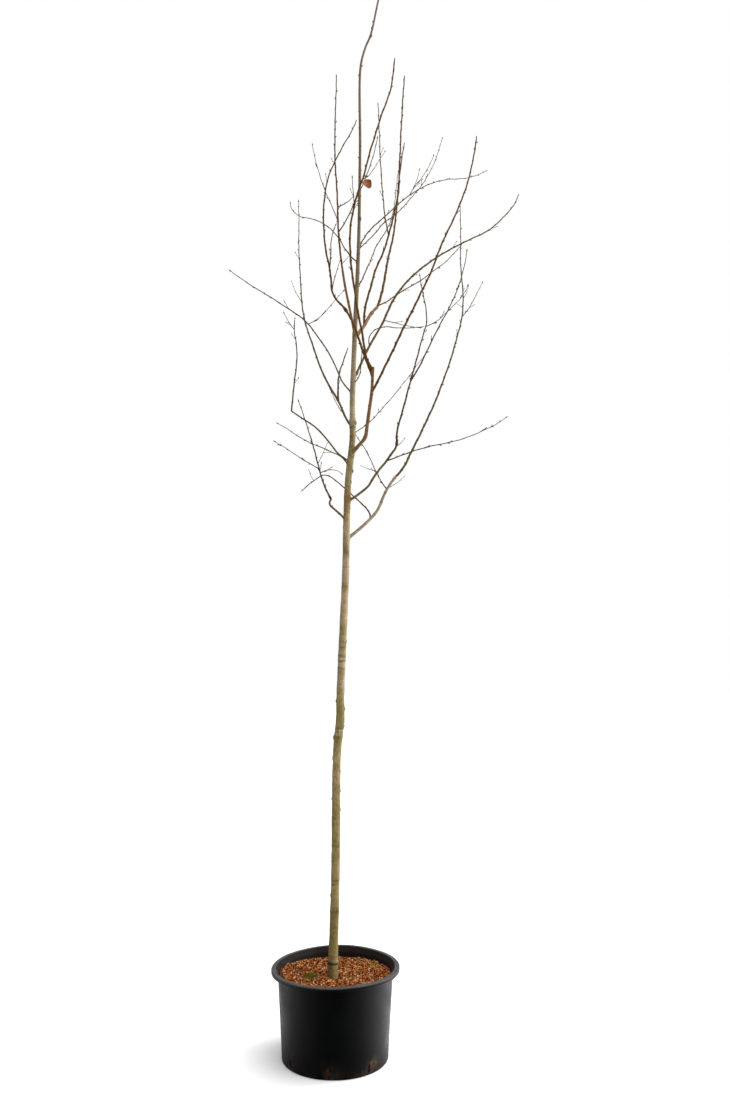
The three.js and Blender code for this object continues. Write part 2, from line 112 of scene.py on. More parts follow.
BOUGHS = {
    "low_right_bough": Limb(
        "trunk", 1780, 355, (12, 9), (24, 18), ((0, 39), (150, 50), (220, 72), (355, 53))),
    "low_left_bough": Limb(
        "trunk", 1845, 115, (8.2, 6.8), (-30, -22), ((0, 125), (40, 142), (85, 142), (115, 36))),
    "second_right_bough": Limb(
        "trunk", 1920, 205, (9.6, 8), (-22, -18), ((0, 28), (90, 37), (115, 60), (205, 44))),
    "bent_left_bough": Limb(
        "trunk", 2070, 340, (7, 5.4), (18, 14),
        ((0, 138), (45, 141), (85, 123), (180, 129), (250, 144), (340, 142))),
    "front_bough": Limb(
        "trunk", 2100, 355, (14, 10.5), (-46, -4),
        ((0, 43), (80, 40), (110, 82), (240, 81), (275, 87), (355, 87))),
    "high_left_bough": Limb(
        "trunk", 2205, 385, (9, 7.4), (34, 20),
        ((0, 124), (90, 109), (130, 109), (210, 118), (385, 109))),
    "long_left_bough": Limb(
        "trunk", 2335, 295, (5.6, 4.8), (-22, -18),
        ((0, 133), (45, 134), (80, 113), (170, 120), (210, 128), (295, 128))),
    "long_right_bough": Limb(
        "trunk", 2395, 300, (10, 8.2), (18, 16), ((0, 61), (45, 69), (130, 69), (200, 64), (300, 64))),
    "upper_right_bough": Limb(
        "trunk", 2560, 280, (14, 10), (44, 34), ((0, 66), (100, 66), (140, 73), (210, 68), (280, 53))),
    "upper_left_bough": Limb(
        "trunk", 2565, 245, (9.6, 7.8), (-34, -14), ((0, 99), (50, 103), (150, 103), (245, 98))),
}

MASSES = {
    "low_right_twigs": Limb(
        "low_right_bough", TIP, 1325, (8.8, 3), (16, 3),
        ((0, 46), (90, 67), (190, 64), (760, 76), (940, 94), (1130, 88), (1325, 90)),
        (Limb("", 800, 200, (3.6, 2), (15, 10), ((0, 52), (90, 63), (200, 65))),)),
    "low_right_side_twigs": Limb(
        "low_right_bough", 285, 275, (4.2, 2.4), (20, 12), ((0, 126), (90, 111), (180, 115), (275, 124))),
    "low_right_weak_twigs": Limb(
        "low_right_bough", 135, 380, (4.4, 2.6), (25, 0),
        ((0, 86), (40, 126), (110, 135), (240, 138), (265, 162), (300, 214), (380, 222))),
    "low_left_twigs": Limb(
        "low_left_bough", TIP, 375, (6.4, 2.6), (-18, -5), ((0, 122), (90, 106), (190, 105), (375, 111)),
        (Limb("", 120, 185, (3.2, 2), (-12, -8), ((0, 154), (80, 148), (185, 149))),
         Limb("", 105, 90, (2.8, 1.9), (-20, -20), ((0, 27), (45, -3), (90, -53))))),
    "second_right_twigs": Limb(
        "second_right_bough", TIP, 715, (7.8, 2.8), (-15, -2),
        ((0, 55), (55, 51), (100, 95), (150, 74), (440, 75), (515, 72), (565, 95), (620, 101), (715, 98)),
        (Limb("", 12, 460, (4.4, 2.2), (-12, -4),
              ((0, 15), (65, 20), (200, 8), (330, 21), (395, 25), (460, 40))),
         Limb("", 320, 525, (5.4, 2.6), (-12, 2), ((0, 54), (90, 65), (260, 61), (400, 71), (525, 83))),
         Limb("", 525, 235, (2.8, 1.9), (6, 6), ((0, 22), (75, 46), (160, 48), (235, 69))))),
    "bent_left_twigs": Limb(
        "bent_left_bough", TIP, 390, (5.4, 3), (8, 0), ((0, 86), (80, 87), (155, 82), (310, 100), (390, 83)),
        (Limb("", 345, 80, (2.6, 2), (0, 0), ((0, 128), (80, 114))),)),
    "left_slender_twigs": Limb(
        "trunk", 2045, 320, (4.4, 2.2), (-24, -6), ((0, 106), (80, 161), (160, 161), (240, 147), (320, 152))),
    "front_right_twigs": Limb(
        "front_bough", 265, 1020, (8.4, 4.4), (-12, 0),
        ((0, 58), (90, 64), (430, 63), (510, 70), (680, 64), (1020, 84))),
    "front_left_twigs": Limb(
        "front_bough", 320, 1110, (8.6, 3.8), (4, 2),
        ((0, 110), (200, 107), (325, 134), (390, 93), (490, 102), (780, 84), (920, 66), (1040, 62),
         (1110, 71)),
        (Limb("", 465, 165, (4.4, 2.8), (-12, -6), ((0, 84), (80, 89), (165, 67))),)),
    "front_middle_twigs": Limb(
        "front_bough", 345, 1190, (7.6, 4.4), (-16, 4),
        ((0, 130), (75, 98), (150, 102), (400, 96), (670, 70), (740, 76), (1040, 71), (1115, 86),
         (1190, 83)),
        (Limb("", 600, 100, (3.2, 2.2), (-8, -4), ((0, 94), (100, 94))),)),
    "right_slender_twigs": Limb(
        "trunk", 2180, 600, (3.4, 2), (36, 26), ((0, 41), (170, 56), (430, 58), (515, 61), (600, 55))),
    "high_left_twigs": Limb(
        "high_left_bough", TIP, 795, (7.6, 2.8), (16, 2),
        ((0, 108), (180, 107), (350, 93), (450, 95), (620, 91), (795, 91))),
    "high_left_fork_twigs": Limb(
        "high_left_bough", 170, 260, (6, 3.2), (24, 14), ((0, 93), (85, 89), (175, 75), (260, 72))),
    "long_left_twigs": Limb(
        "long_left_bough", TIP, 350, (5, 2.8), (-16, -8), ((0, 134), (85, 151), (260, 150), (350, 145)),
        (Limb("", 12, 185, (2.6, 1.8), (-2, 4), ((0, 24), (90, 54), (185, 49))),)),
    "long_right_twigs": Limb(
        "long_right_bough", TIP, 890, (8.2, 3.6), (14, 6),
        ((0, 71), (90, 67), (270, 47), (450, 35), (620, 28), (710, 46), (800, 50), (890, 73)),
        (Limb("", 12, 145, (3, 2), (4, 0), ((0, -10), (70, -15), (145, -6))),)),
    "upper_right_twigs": Limb(
        "upper_right_bough", TIP, 855, (9, 3.8), (20, 2),
        ((0, 72), (160, 83), (310, 78), (540, 86), (770, 83), (855, 77)),
        (Limb("", 12, 530, (5.2, 2.8), (24, 12),
              ((0, 31), (75, 45), (225, 37), (300, 46), (380, 42), (455, 52), (530, 54))),)),
    "upper_tall_twigs": Limb(
        "upper_right_bough", 125, 1155, (8.6, 4.6), (8, 0),
        ((0, 96), (75, 80), (145, 75), (215, 77), (290, 67), (430, 77), (580, 78), (650, 88), (1155, 86)),
        (Limb("", 420, 640, (5, 3.2), (12, 2), ((0, 101), (150, 94), (320, 93), (480, 91), (640, 93))),)),
    "upper_left_twigs": Limb(
        "upper_left_bough", TIP, 755, (7.2, 3.6), (-10, 0),
        ((0, 98), (85, 97), (170, 91), (340, 94), (590, 88), (755, 90)),
        (Limb("", 145, 385, (4.4, 2.6), (-10, -4), ((0, 52), (95, 66), (190, 65), (385, 80))),
         Limb("", 185, 320, (3.2, 2), (-4, 0), ((0, 110), (80, 114), (320, 99))))),
    "back_twigs": Limb(
        "trunk", 2755, 835, (5, 2.3), (44, 8),
        ((0, 75), (340, 75), (420, 65), (500, 67), (585, 79), (750, 86), (835, 82))),
    "crown_left_twigs": Limb(
        "trunk", 2865, 365, (4.6, 2.3), (-16, 4), ((0, 149), (90, 117), (275, 173), (365, 95))),
    "crown_right_twigs": Limb(
        "trunk", 2920, 835, (5.2, 2.3), (22, 20),
        ((0, 75), (165, 52), (330, 53), (500, 39), (670, 14), (835, 42)),
        (Limb("", 410, 240, (2.8, 1.8), (16, 10), ((0, 70), (80, 55), (160, 65), (240, 71))),
         Limb("", 410, 125, (2.4, 1.8), (6, 4), ((0, 63), (125, 78))))),
    "crown_back_twigs": Limb(
        "trunk", 2895, 975, (4.2, 2.2), (40, 12),
        ((0, 96), (90, 61), (180, 59), (265, 69), (350, 48), (445, 58), (620, 59), (800, 70), (975, 77))),
}

# Thin single twigs that the solids leave to the dressed crown.
FINE_TWIGS = (
    Limb("trunk", 2375, 145, (4.2, 2.4), (-26, -12), ((0, 33), (70, 88), (145, 82))),
    Limb("long_right_bough", 175, 255, (3.8, 2.4), (-14, 0), ((0, 114), (65, 31), (125, -10), (255, 8))),
    Limb("high_left_bough", 95, 130, (2.8, 1.8), (10, 4), ((0, 140), (30, 117), (130, 112))),
    Limb("low_right_bough", 290, 85, (2.2, 1.5), (12, 10), ((0, 29), (85, 46))),
    Limb("front_middle_twigs", 700, 150, (2.4, 1.5), (10, 6), ((0, 25), (40, 60), (150, 62))),
    Limb("upper_left_twigs", 240, 65, (3.6, 2.4), (-12, -8), ((0, 15), (65, 46))),
    Limb("upper_left_twigs", 25, 40, (2.2, 1.5), (-12, -8), ((0, 46), (40, 46))),
    Limb("high_left_twigs", 315, 105, (2.2, 1.5), (6, 4), ((0, 122), (105, 107))),
    Limb("low_right_side_twigs", 95, 60, (2.2, 1.4), (14, 10), ((0, 161), (60, 154))),
    Limb("low_left_twigs", 140, 80, (2.2, 1.4), (-16, -12), ((0, 59), (80, 69))),
    Limb("second_right_twigs", 75, 40, (2.2, 1.5), (-14, -10), ((0, 25), (40, 58))),
    Limb("low_right_weak_twigs", 325, 45, (2, 1.4), (-4, -4), ((0, 126), (45, 107))),
    Limb("low_right_twigs", 845, 25, (2, 1.4), (-10, -8), ((0, 148), (25, 150))),
    Limb("low_right_twigs", 890, 60, (2.2, 1.5), (4, 4), ((0, 51), (60, 84))),
    Limb("front_left_twigs", 375, 115, (3.2, 2.1), (-8, -6), ((0, 85), (60, 71), (115, 76))),
)

RED_MASSES = (
    "front_right_twigs", "front_left_twigs", "front_middle_twigs", "upper_right_twigs",
    "upper_tall_twigs", "upper_left_twigs",
)
GREY_MASSES = (
    "low_right_twigs", "second_right_twigs", "high_left_twigs", "long_right_twigs", "bent_left_twigs",
)
SHOOT_COLOURS = {
    "red": RED_MASSES,
    "grey": GREY_MASSES,
    "brown": tuple(m for m in MASSES if m not in RED_MASSES + GREY_MASSES),
}
BOUGH_COLOURS = {
    "low_right_bough": "tan", "low_left_bough": "brown", "second_right_bough": "grey",
    "bent_left_bough": "brown", "front_bough": "red", "high_left_bough": "brown",
    "long_left_bough": "brown", "long_right_bough": "brown", "upper_right_bough": "red",
    "upper_left_bough": "red",
}

# Joints of the boughs: distance along the bough, reach, how far they stand proud, share of raw bark.
JOINTS = {
    "low_right_bough": ((345, 8, 1.6, 0.2),),
    "front_bough": ((96, 9, 1.2, 0.4), (352, 14, 0.7, 0.8)),
    "long_right_bough": ((30, 8, 1.6, 0.2), (296, 7, 1.0, 0.1)),
    "upper_right_bough": ((44, 9, 1.2, 0.65), (231, 9, 2.2, 0.1), (272, 8, 0.8, 0.1)),
}
# Limbs whose bark stands a little thicker or thinner than the rule makes it.
BARK_SHARE = {
    "low_right_bough": 1.06, "low_left_bough": 1.06, "upper_right_bough": 1.1,
    "upper_left_bough": 1.08, "low_right_weak_twigs": 1.26, "bent_left_twigs": 1.12,
    "front_middle_twigs": 1.07, "high_left_twigs": 0.9, "high_left_fork_twigs": 1.22,
    "long_left_twigs": 0.92, "long_right_twigs": 1.05, "upper_right_twigs": 1.13,
    "upper_left_twigs": 0.95,
}
# Knuckles of the stems: distance along the stem, reach and swelling.
KNUCKLES = {
    "front_left_twigs": ((284, 9, 0.75),),
    "second_right_twigs": ((88, 7, 0.5),),
    "low_left_twigs": ((8, 8, 0.5),),
}


class SideRule(NamedTuple):
    """How short side twigs are set along a bearing shoot."""

    spacing: float
    first: float
    last: float
    length: tuple
    angle: tuple
    thick: tuple


TWIG_RULE = SideRule(240, 0.3, 0.82, (12, 26), (28, 42), (2.3, 1.5))
SPUR_RULE = SideRule(150, 0.12, 0.9, (3, 8), (34, 52), (2.4, 1.8))
TWIG_TURN = 144
TWIG_CLEAR = 4
TWIG_SWEEP = 6
TWIG_POINTS = 9
TWIG_RING_STEP = 4
SPACING_SPREAD = (0.7, 1.3)

BOUGH_STEP = 24
STEM_STEP = 62
FINE_STEPS = 8
COLLAR_SWELL = 0.35
COLLAR_LENGTH = 14
BOUGH_SIDES = 20
STEM_SIDES = 10
TWIG_SIDES = 7

# Living shoots: size and wave of their sway, how it fades in, and the swelling at each bud.
SKIN_STEP = 4
LIVING_SWELL = 1.05
SWAYS = ((0.5, 170), (0.45, 62))
SWAY_FADE = 60
BUD_SWELL = 0.24
BUD_SWELL_REACH = 3
BUD_TURN_SPREAD = 15
LAST_BUD = 0.4
TIP_SHARE = 0.45
TIP_LENGTH = 5

# Marks on the trunk. Rings: height and how far they stand proud. Pale bands: height and width.
# Knots: height, bearing from the right towards the back, width and how far they stand proud.
TRUNK_RINGS = (
    (473, 0.5), (565, 0.5), (578, 0.6), (658, 0.35), (694, 0.6), (1310, 0.6), (1337, 0.9), (1354, 0.6),
    (1387, 0.6), (1404, 0.4), (2207, 0.95), (3046, 0.6), (3836, 0.9),
)
PALE_BANDS = ((1071, 3), (1079, 2.5), (1087, 3), (1245, 2.2), (1254, 2.2), (1262, 2.2), (1341, 3))
TRUNK_KNOTS = (
    (477, -40, 6, 2.6), (523, 180, 4, 2.2), (812, 0, 4, 2.2), (850, 180, 4, 2.6), (877, 0, 3.5, 2),
    (945, -20, 4, 2.4), (990, 180, 5, 2.4), (1062, 182, 6, 3.6), (1103, 0, 4, 2.4), (1163, 2, 5, 3.8),
    (1191, 178, 5, 3.2), (1404, -4, 5, 2.4), (1500, -95, 9, 1.6), (1548, -70, 6, 1.8), (1736, -98, 6, 2.6),
    (2038, 4, 6, 5), (2222, -2, 8, 4.5), (3046, -20, 6, 2.8), (3838, 0, 4, 3.4), (3872, 180, 3, 2.6),
)
# Stretches of the trunk with bark of another tone: height, reach and share.
STRETCHES = {
    "film": ((385, 75, 0.7), (600, 220, 0.3), (1125, 85, 0.7), (2060, 110, 0.35)),
    "rosy": ((607, 45, 0.6), (905, 55, 0.6), (1318, 50, 0.5), (1640, 170, 0.95), (1810, 85, 0.8)),
    "ashen": (
        (1318, 60, 0.5), (1640, 120, 0.35), (1765, 45, 0.9), (1990, 60, 0.3), (2240, 50, 0.5),
        (2380, 150, 0.9),
    ),
    "dusky": ((450, 80, 0.45), (770, 70, 0.3)),
    "raw": ((1928, 30, 0.6),),
}
# The dark line's height and width near the trunk's foot, and where the trunk stands thicker: height, reach,
# how far.
FOOT_LINE = (300, 4.6)
TRUNK_SWELLS = ((2080, 130, 1.2),)


# Settings.


def length_of(name, description, default):
    """Length that a user may change."""
    return FloatProperty(
        name=name, description=description, default=default, min=0.0005, unit="LENGTH", subtype="DISTANCE")


def colour_of(name, description, default):
    """Colour that a user may change."""
    return FloatVectorProperty(
        name=name, description=description, default=default, size=3, min=0, max=1, subtype="COLOR")


def amount_of(name, description, default, **kind):
    """Amount that a user may change."""
    return FloatProperty(name=name, description=description, default=default, min=0, **kind)


class PotSettings(bpy.types.PropertyGroup):
    """Sizes and colours of the pot."""

    height: length_of("Height", "From the floor to the top of the rim", POT_HIGH.z)
    rim_radius: length_of("Rim radius", "From the axis to the rim's outer edge", (POT_HIGH.x - POT_LOW.x) / 2)
    foot_radius: length_of("Foot radius", "Outside radius of the wall at the floor", 0.181)
    shoulder_radius: length_of("Shoulder radius", "Outside radius of the wall under the rim", 0.1975)
    wall: length_of("Wall", "Thickness of the wall", 0.004)
    plastic: colour_of("Plastic", "Colour of the moulded plastic", (0.0016, 0.0017, 0.002))
    # The inner wall's colour is soil stain and painted shade inside the pot together.
    soiled: colour_of("Soiled", "Colour of the soiled inner wall", (0.011, 0.006, 0.004))
    mud: colour_of("Mud", "Colour of the stains round the foot", (0.11, 0.075, 0.035))


class MixSettings(bpy.types.PropertyGroup):
    """Bark chips and moss on the potting mix."""

    level: length_of("Level", "Height of the mix above the floor", MIX_TOP)
    chip_length: length_of("Chip length", "Usual length of one chip", 0.0078)
    chips: amount_of("Chips", "Chips of one tone on a square metre", 28000)
    red_chip: colour_of("Red chip", "Colour of most chips", (0.36, 0.079, 0.015))
    tan_chip: colour_of("Tan chip", "Colour of the weathered chips", (0.5, 0.165, 0.036))
    # Dark chips are wet bark and also painted shade between the chips.
    dark_chip: colour_of("Dark chip", "Colour of the wet chips", (0.038, 0.009, 0.003))
    pale_chip: colour_of("Pale chip", "Colour of the split wood", (0.8, 0.45, 0.24))
    mossy_chip: colour_of("Mossy chip", "Colour of the chips with algae", (0.22, 0.14, 0.025))
    moss: colour_of("Moss", "Colour of the tuft of moss", (0.19, 0.165, 0.02))


class BarkSettings(bpy.types.PropertyGroup):
    """Bark of the trunk and the boughs."""

    relief: amount_of("Relief", "Scale of the rings and knots on the bark", 1, max=3, subtype="FACTOR")
    olive: colour_of("Olive", "Dark tone of the trunk", (0.14, 0.1, 0.033))
    khaki: colour_of("Khaki", "Middle tone of the trunk", (0.325, 0.25, 0.105))
    pale: colour_of("Pale", "Light tone of the trunk", (0.55, 0.45, 0.26))
    rosy: colour_of("Rosy", "Patches of thin young bark on the trunk", (0.47, 0.32, 0.2))
    ashen: colour_of("Ashen", "Pale grey stretches of the trunk", (0.5, 0.44, 0.33))
    green: colour_of("Green", "Film of algae on the trunk", (0.19, 0.175, 0.035))
    young: colour_of("Young", "Brown of the upper trunk", (0.225, 0.155, 0.095))
    leader: colour_of("Leader", "Rosy brown of the last season's growth", (0.245, 0.165, 0.135))
    red: colour_of("Red bough", "Red-brown boughs", (0.215, 0.115, 0.05))
    joint: colour_of("Joint", "Raw red bark at the joints and on the trunk", (0.3, 0.1, 0.045))
    tan: colour_of("Tan bough", "Pale grey-brown bough", (0.27, 0.22, 0.14))
    grey: colour_of("Grey bough", "Grey-brown boughs", (0.165, 0.12, 0.056))
    brown: colour_of("Brown bough", "Dark brown boughs", (0.125, 0.078, 0.028))


class CrownSettings(bpy.types.PropertyGroup):
    """Shoots, twigs, buds and the withered leaf."""

    seed: IntProperty(
        name="Seed", description="Starts the rule that sets the side twigs", default=7, min=0)
    bud_length: length_of("Bud length", "Length of a side bud", 0.0085)
    bud_spacing: length_of("Bud spacing", "Usual distance between buds along a shoot", 0.038)
    red: colour_of("Red shoot", "Red-brown shoots", (0.135, 0.066, 0.018))
    grey: colour_of("Grey shoot", "Grey-brown shoots", (0.11, 0.073, 0.026))
    brown: colour_of("Brown shoot", "Dark brown shoots", (0.09, 0.054, 0.016))
    bud: colour_of("Bud", "Bud scales", (0.085, 0.04, 0.018))
    leaf: colour_of("Leaf", "The one withered leaf", (0.42, 0.135, 0.045))


class StageSettings(bpy.types.PropertyGroup):
    """Floor, light and camera."""

    floor: colour_of("Floor", "Colour of the floor", (0.9, 0.9, 0.9))
    sky_right: amount_of("Sky right", "Strength of the even light from the right", 1.15)
    sky_left: amount_of("Sky left", "Strength of the even light from the left", 0.18)
    sky_front: amount_of(
        "Sky front", "Share of the even light that comes from the front", 0.45, max=1, subtype="FACTOR")
    key: amount_of("Key", "Strength of the broad light from above", 2.0)
    fill: amount_of("Fill", "Power of the light at the right", 80, unit="POWER")
    sheen: amount_of("Sheen", "Power of the light that shows only as a sheen at the left", 14, unit="POWER")
    glow: amount_of("Glow", "Light that the floor gives off itself", 0.15)
    bounce: amount_of(
        "Bounce", "Share of the light that the floor throws back on the tree", 0.5, max=1, subtype="FACTOR")
    lens: amount_of("Lens", "Focal length of the camera", 28.67, unit="CAMERA")


# Meshes.


def unit(vector):
    """The same direction at length one."""
    return vector / np.linalg.norm(vector)


def bell(*gaps):
    """One where every gap is nothing, falling off smoothly on all sides."""
    return np.exp(-sum(gap**2 for gap in gaps))


def angle_from(turn, bearings):
    """Angle from one bearing to others, the short way round."""
    return np.angle(np.exp(1j * (bearings - turn)))


def ring_angles(count):
    """Even bearings all the way round."""
    return np.arange(count) * 2 * math.pi / count


def bare_mesh(name, points, edges=(), faces=()):
    """Mesh in metres with no material."""
    mesh = bpy.data.meshes.new(name)
    mesh.from_pydata(np.asarray(points).tolist(), edges, faces)
    return mesh


def mesh_of(name, points, faces, finish, smooth=True):
    """Mesh in metres with one material."""
    if not len(faces):
        raise RuntimeError(f"{name} came out empty")
    mesh = bare_mesh(name, points, faces=faces)
    mesh.materials.append(finish)
    if smooth:
        mesh.shade_smooth()
    mesh.update()
    return mesh


def placed(name, data):
    """New object in the scene."""
    made = bpy.data.objects.new(name, data)
    bpy.context.scene.collection.objects.link(made)
    return made


def piece(name, mesh, slot, *nodes):
    """Finished piece, tied to the frame's one body."""
    made = placed(name, mesh)
    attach(made, "root")
    if nodes:
        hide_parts(*nodes)


def finished_mesh(host, name):
    """What an object's modifiers make of it, as a plain mesh. The object itself goes."""
    depsgraph = bpy.context.evaluated_depsgraph_get()
    mesh = bpy.data.meshes.new_from_object(host.evaluated_get(depsgraph))
    bpy.data.objects.remove(host)
    if not mesh.polygons:
        raise RuntimeError(f"{name} came out empty")
    mesh.name = name
    return mesh


def marked(mesh, **values):
    """Stores a number or a vector for each point under a name that a tree or a material reads."""
    for name, numbers in values.items():
        numbers = np.asarray(numbers, np.float32)
        kind, field = ("FLOAT", "value") if numbers.ndim == 1 else ("FLOAT_VECTOR", "vector")
        mesh.attributes.new(name, kind, "POINT").data.foreach_set(field, numbers.ravel())
    return mesh


def points_of(mesh):
    """All points of a mesh, one in each row."""
    flat = np.empty(len(mesh.vertices) * 3, np.float32)
    mesh.vertices.foreach_get("co", flat)
    return flat.reshape(-1, 3)


def ripple(points, scale, seed):
    """Smooth bumps between about -1 and 1 from a few crossing waves."""
    draw = np.random.default_rng(seed)
    total = np.zeros(len(points))
    waves = 6
    for _ in range(waves):
        way = draw.normal(size=3)
        way *= 2 * math.pi * draw.uniform(0.7, 1.5) / (scale * np.linalg.norm(way))
        total += np.sin(points @ way + draw.uniform(0, 2 * math.pi))
    return total / (waves / 2)


def rounded(corners, steps=6):
    """Outline through corners (x, y, fillet), with an arc at each fillet."""
    made = []
    for i, (x, y, fillet) in enumerate(corners):
        here = np.array((x, y), float)
        if not fillet:
            made.append(here)
            continue
        back, ahead = (unit(np.array(corners[j][:2], float) - here) for j in (i - 1, i + 1))
        half = math.acos(np.clip(back @ ahead, -1, 1)) / 2
        reach = fillet / math.tan(half)
        centre = here + unit(back + ahead) * fillet / math.sin(half)
        start, end = here + back * reach - centre, here + ahead * reach - centre
        sweep = (math.pi - 2 * half) * np.sign(start[0] * end[1] - start[1] * end[0])
        for k in range(steps + 1):
            a = sweep * k / steps
            spin = np.array(((math.cos(a), -math.sin(a)), (math.sin(a), math.cos(a))))
            made.append(centre + spin @ start)
    return np.array(made)


def ring_faces(rows, sides):
    """Faces between rings of points that follow one another."""
    faces = []
    for row in range(rows - 1):
        for k in range(sides):
            a, b = row * sides + k, row * sides + (k + 1) % sides
            faces.append((a, b, b + sides, a + sides))
    return faces


def closed_faces(rows, sides):
    """Faces between rings, closed to two end points that stand last in the row of points."""
    faces = ring_faces(rows, sides)
    low, last = rows * sides, (rows - 1) * sides
    for k in range(sides):
        following = (k + 1) % sides
        faces += [(low, following, k), (low + 1, last + k, last + following)]
    return faces


def turned(outline, segments):
    """Closed solid of an outline from axis to axis, turned round Z."""
    inner = outline[1:-1]
    angles = ring_angles(segments)
    points = np.empty((len(inner), segments, 3))
    points[:, :, :2] = inner[:, None, :1] * np.stack((np.cos(angles), np.sin(angles)), axis=1)
    points[:, :, 2] = inner[:, 1:]
    ends = [(0, 0, outline[0][1]), (0, 0, outline[-1][1])]
    return np.concatenate((points.reshape(-1, 3), ends)), closed_faces(len(inner), segments)


def carried_frames(points):
    """Two cross directions along a line, carried on without twist."""
    ahead = np.gradient(points, axis=0)
    ahead /= np.linalg.norm(ahead, axis=1)[:, None]
    side = np.empty_like(points)
    last = np.array((0.0, 1.0, 0.0))
    for i, way in enumerate(ahead):
        last = unit(last - way * (last @ way))
        side[i] = last
    return side, np.cross(ahead, side)


def swept(points, radii):
    """Closed tube: radii holds one row for each point and one column for each side."""
    count, sides = radii.shape
    side, across = carried_frames(points)
    angles = ring_angles(sides)
    ring = side[:, None] * np.cos(angles)[None, :, None]
    ring = ring + across[:, None] * np.sin(angles)[None, :, None]
    skin = (points[:, None] + ring * radii[:, :, None]).reshape(-1, 3)
    return np.concatenate((skin, points[[0, -1]])), closed_faces(count, sides)


# Limbs.

SEED_FACTOR = 1664525
SEED_STEP = 1013904223
SEED_RANGE = 2**32
LEAST_SKIN_STEPS = 6
WAVE_SPREAD = (0.8, 1.2)


class Line:
    """Centre line of a limb in millimetres, with the radius at each point."""

    def __init__(self, points, radii, distances, ring_step=FINE_STEPS):
        self.points = points
        self.radii = radii
        self.distances = distances
        self.rings = slice(None, None, ring_step)

    def points_at(self, places):
        """Points at distances along the line."""
        return np.stack([np.interp(places, self.distances, c) for c in self.points.T], axis=-1)

    def radii_at(self, places):
        """Radii at distances along the line."""
        return np.interp(places, self.distances, self.radii)

    def at(self, distance):
        """Point, heading and radius at one distance along the line."""
        i = int(np.clip(np.searchsorted(self.distances, distance), 1, len(self.points) - 1))
        along = unit(self.points[i] - self.points[i - 1])
        return self.points_at(distance), along, float(self.radii_at(distance))

    def clearance(self, point):
        """Least distance from a point to the limb's surface."""
        rings = self.points[self.rings]
        start, run = rings[:-1], np.diff(rings, axis=0)
        share = np.einsum("ij,ij->i", point - start, run) / np.einsum("ij,ij->i", run, run)
        near = start + run * np.clip(share, 0, 1)[:, None]
        gaps = np.linalg.norm(near - point, axis=1) - self.radii[self.rings][:-1]
        return gaps.min()


def seeded(seed):
    """Same row of numbers between 0 and 1 as in the part's source."""
    state = seed
    while True:
        state = (state * SEED_FACTOR + SEED_STEP) % SEED_RANGE
        yield state / SEED_RANGE


def between(pair, share):
    """Value at a share of the way from one of a pair to the other."""
    return pair[0] + (pair[1] - pair[0]) * share


def slope_heading(rise, out):
    """Heading of a slope seen from the front and of one away from the front plane, in radians."""
    return np.cos(out) * np.cos(rise), np.sin(out), np.cos(out) * np.sin(rise)


def limb_line(start, limb, step, collar):
    """Centre line of a limb, its slope read from rises and out at every step."""
    steps = max(math.ceil(limb.length / step), 2) * FINE_STEPS
    shares = (np.arange(steps) + 0.5) / steps
    rise = np.radians(np.interp(shares * limb.length, *zip(*limb.rises)))
    out = np.radians(np.interp(shares, (0, 1), limb.out))
    moves = np.cumsum(np.stack(slope_heading(rise, out), 1) * limb.length / steps, axis=0)
    points = start + np.concatenate((np.zeros((1, 3)), moves))
    distances = np.linspace(0, limb.length, steps + 1)
    swell = 1 + collar * np.exp(-distances / COLLAR_LENGTH)
    return Line(points, np.linspace(*limb.thick, steps + 1) / 2 * swell, distances)


def trunk_line():
    """The trunk's line: a smooth curve through its stations, as in the part's source."""
    table = np.array(TRUNK_STATIONS, float)
    axis = np.stack((table[:, 1], np.zeros(len(table)), table[:, 0]), axis=1)
    ends = np.concatenate((2 * axis[:1] - axis[1:2], axis, 2 * axis[-1:] - axis[-2:-1]))
    steps = TRUNK_RINGS_PER_STATION * FINE_STEPS
    weights = (np.arange(steps) / steps)[:, None]
    rows = []
    for p0, p1, p2, p3 in zip(ends, ends[1:], ends[2:], ends[3:]):
        d0, d1, d2 = (math.sqrt(np.linalg.norm(b - a)) for a, b in ((p0, p1), (p1, p2), (p2, p3)))
        t1 = ((p1 - p0) / d0 - (p2 - p0) / (d0 + d1) + (p2 - p1) / d1) * d1
        t2 = ((p2 - p1) / d1 - (p3 - p1) / (d1 + d2) + (p3 - p2) / d2) * d1
        square = -3 * p1 + 3 * p2 - 2 * t1 - t2
        cube = 2 * p1 - 2 * p2 + t1 + t2
        rows.append(p1 + t1 * weights + square * weights**2 + cube * weights**3)
    points = np.concatenate((*rows, axis[-1:]))
    place = np.arange(len(points)) / steps
    return Line(points, np.interp(place, np.arange(len(table)), table[:, 2]) / 2, points[:, 2])


def turned_side(along, turn):
    """Direction square to a heading, turned round it by an angle."""
    side = unit(np.cross((0, 1, 0), along))
    return side * math.cos(turn) + np.cross(along, side) * math.sin(turn)


def side_twigs(bearer, rule, draw):
    """Alternate side twigs, each turned on from the last, set along one bearing shoot."""
    total = bearer.distances[-1]
    turn = next(draw) * 360
    place = total * rule.first
    shares = np.linspace(0, 1, TWIG_POINTS)
    while place < total * rule.last:
        point, along, _ = bearer.at(place)
        side = turned_side(along, math.radians(turn))
        angle = math.radians(between(rule.angle, next(draw)))
        length = between(rule.length, next(draw))
        heading = along * math.cos(angle) + side * math.sin(angle)
        ahead = shares[:, None]
        points = point + heading * ahead * length + along * ahead**2 * TWIG_SWEEP
        yield Line(points, np.linspace(*rule.thick, TWIG_POINTS) / 2, shares * length, TWIG_RING_STEP)
        turn += TWIG_TURN
        place += rule.spacing * between(SPACING_SPREAD, next(draw))


class Crown(NamedTuple):
    """All centre lines of the tree, by kind."""

    trunk: Line
    boughs: dict
    stems: dict
    shoots: dict
    fine: list
    twigs: list
    spurs: list


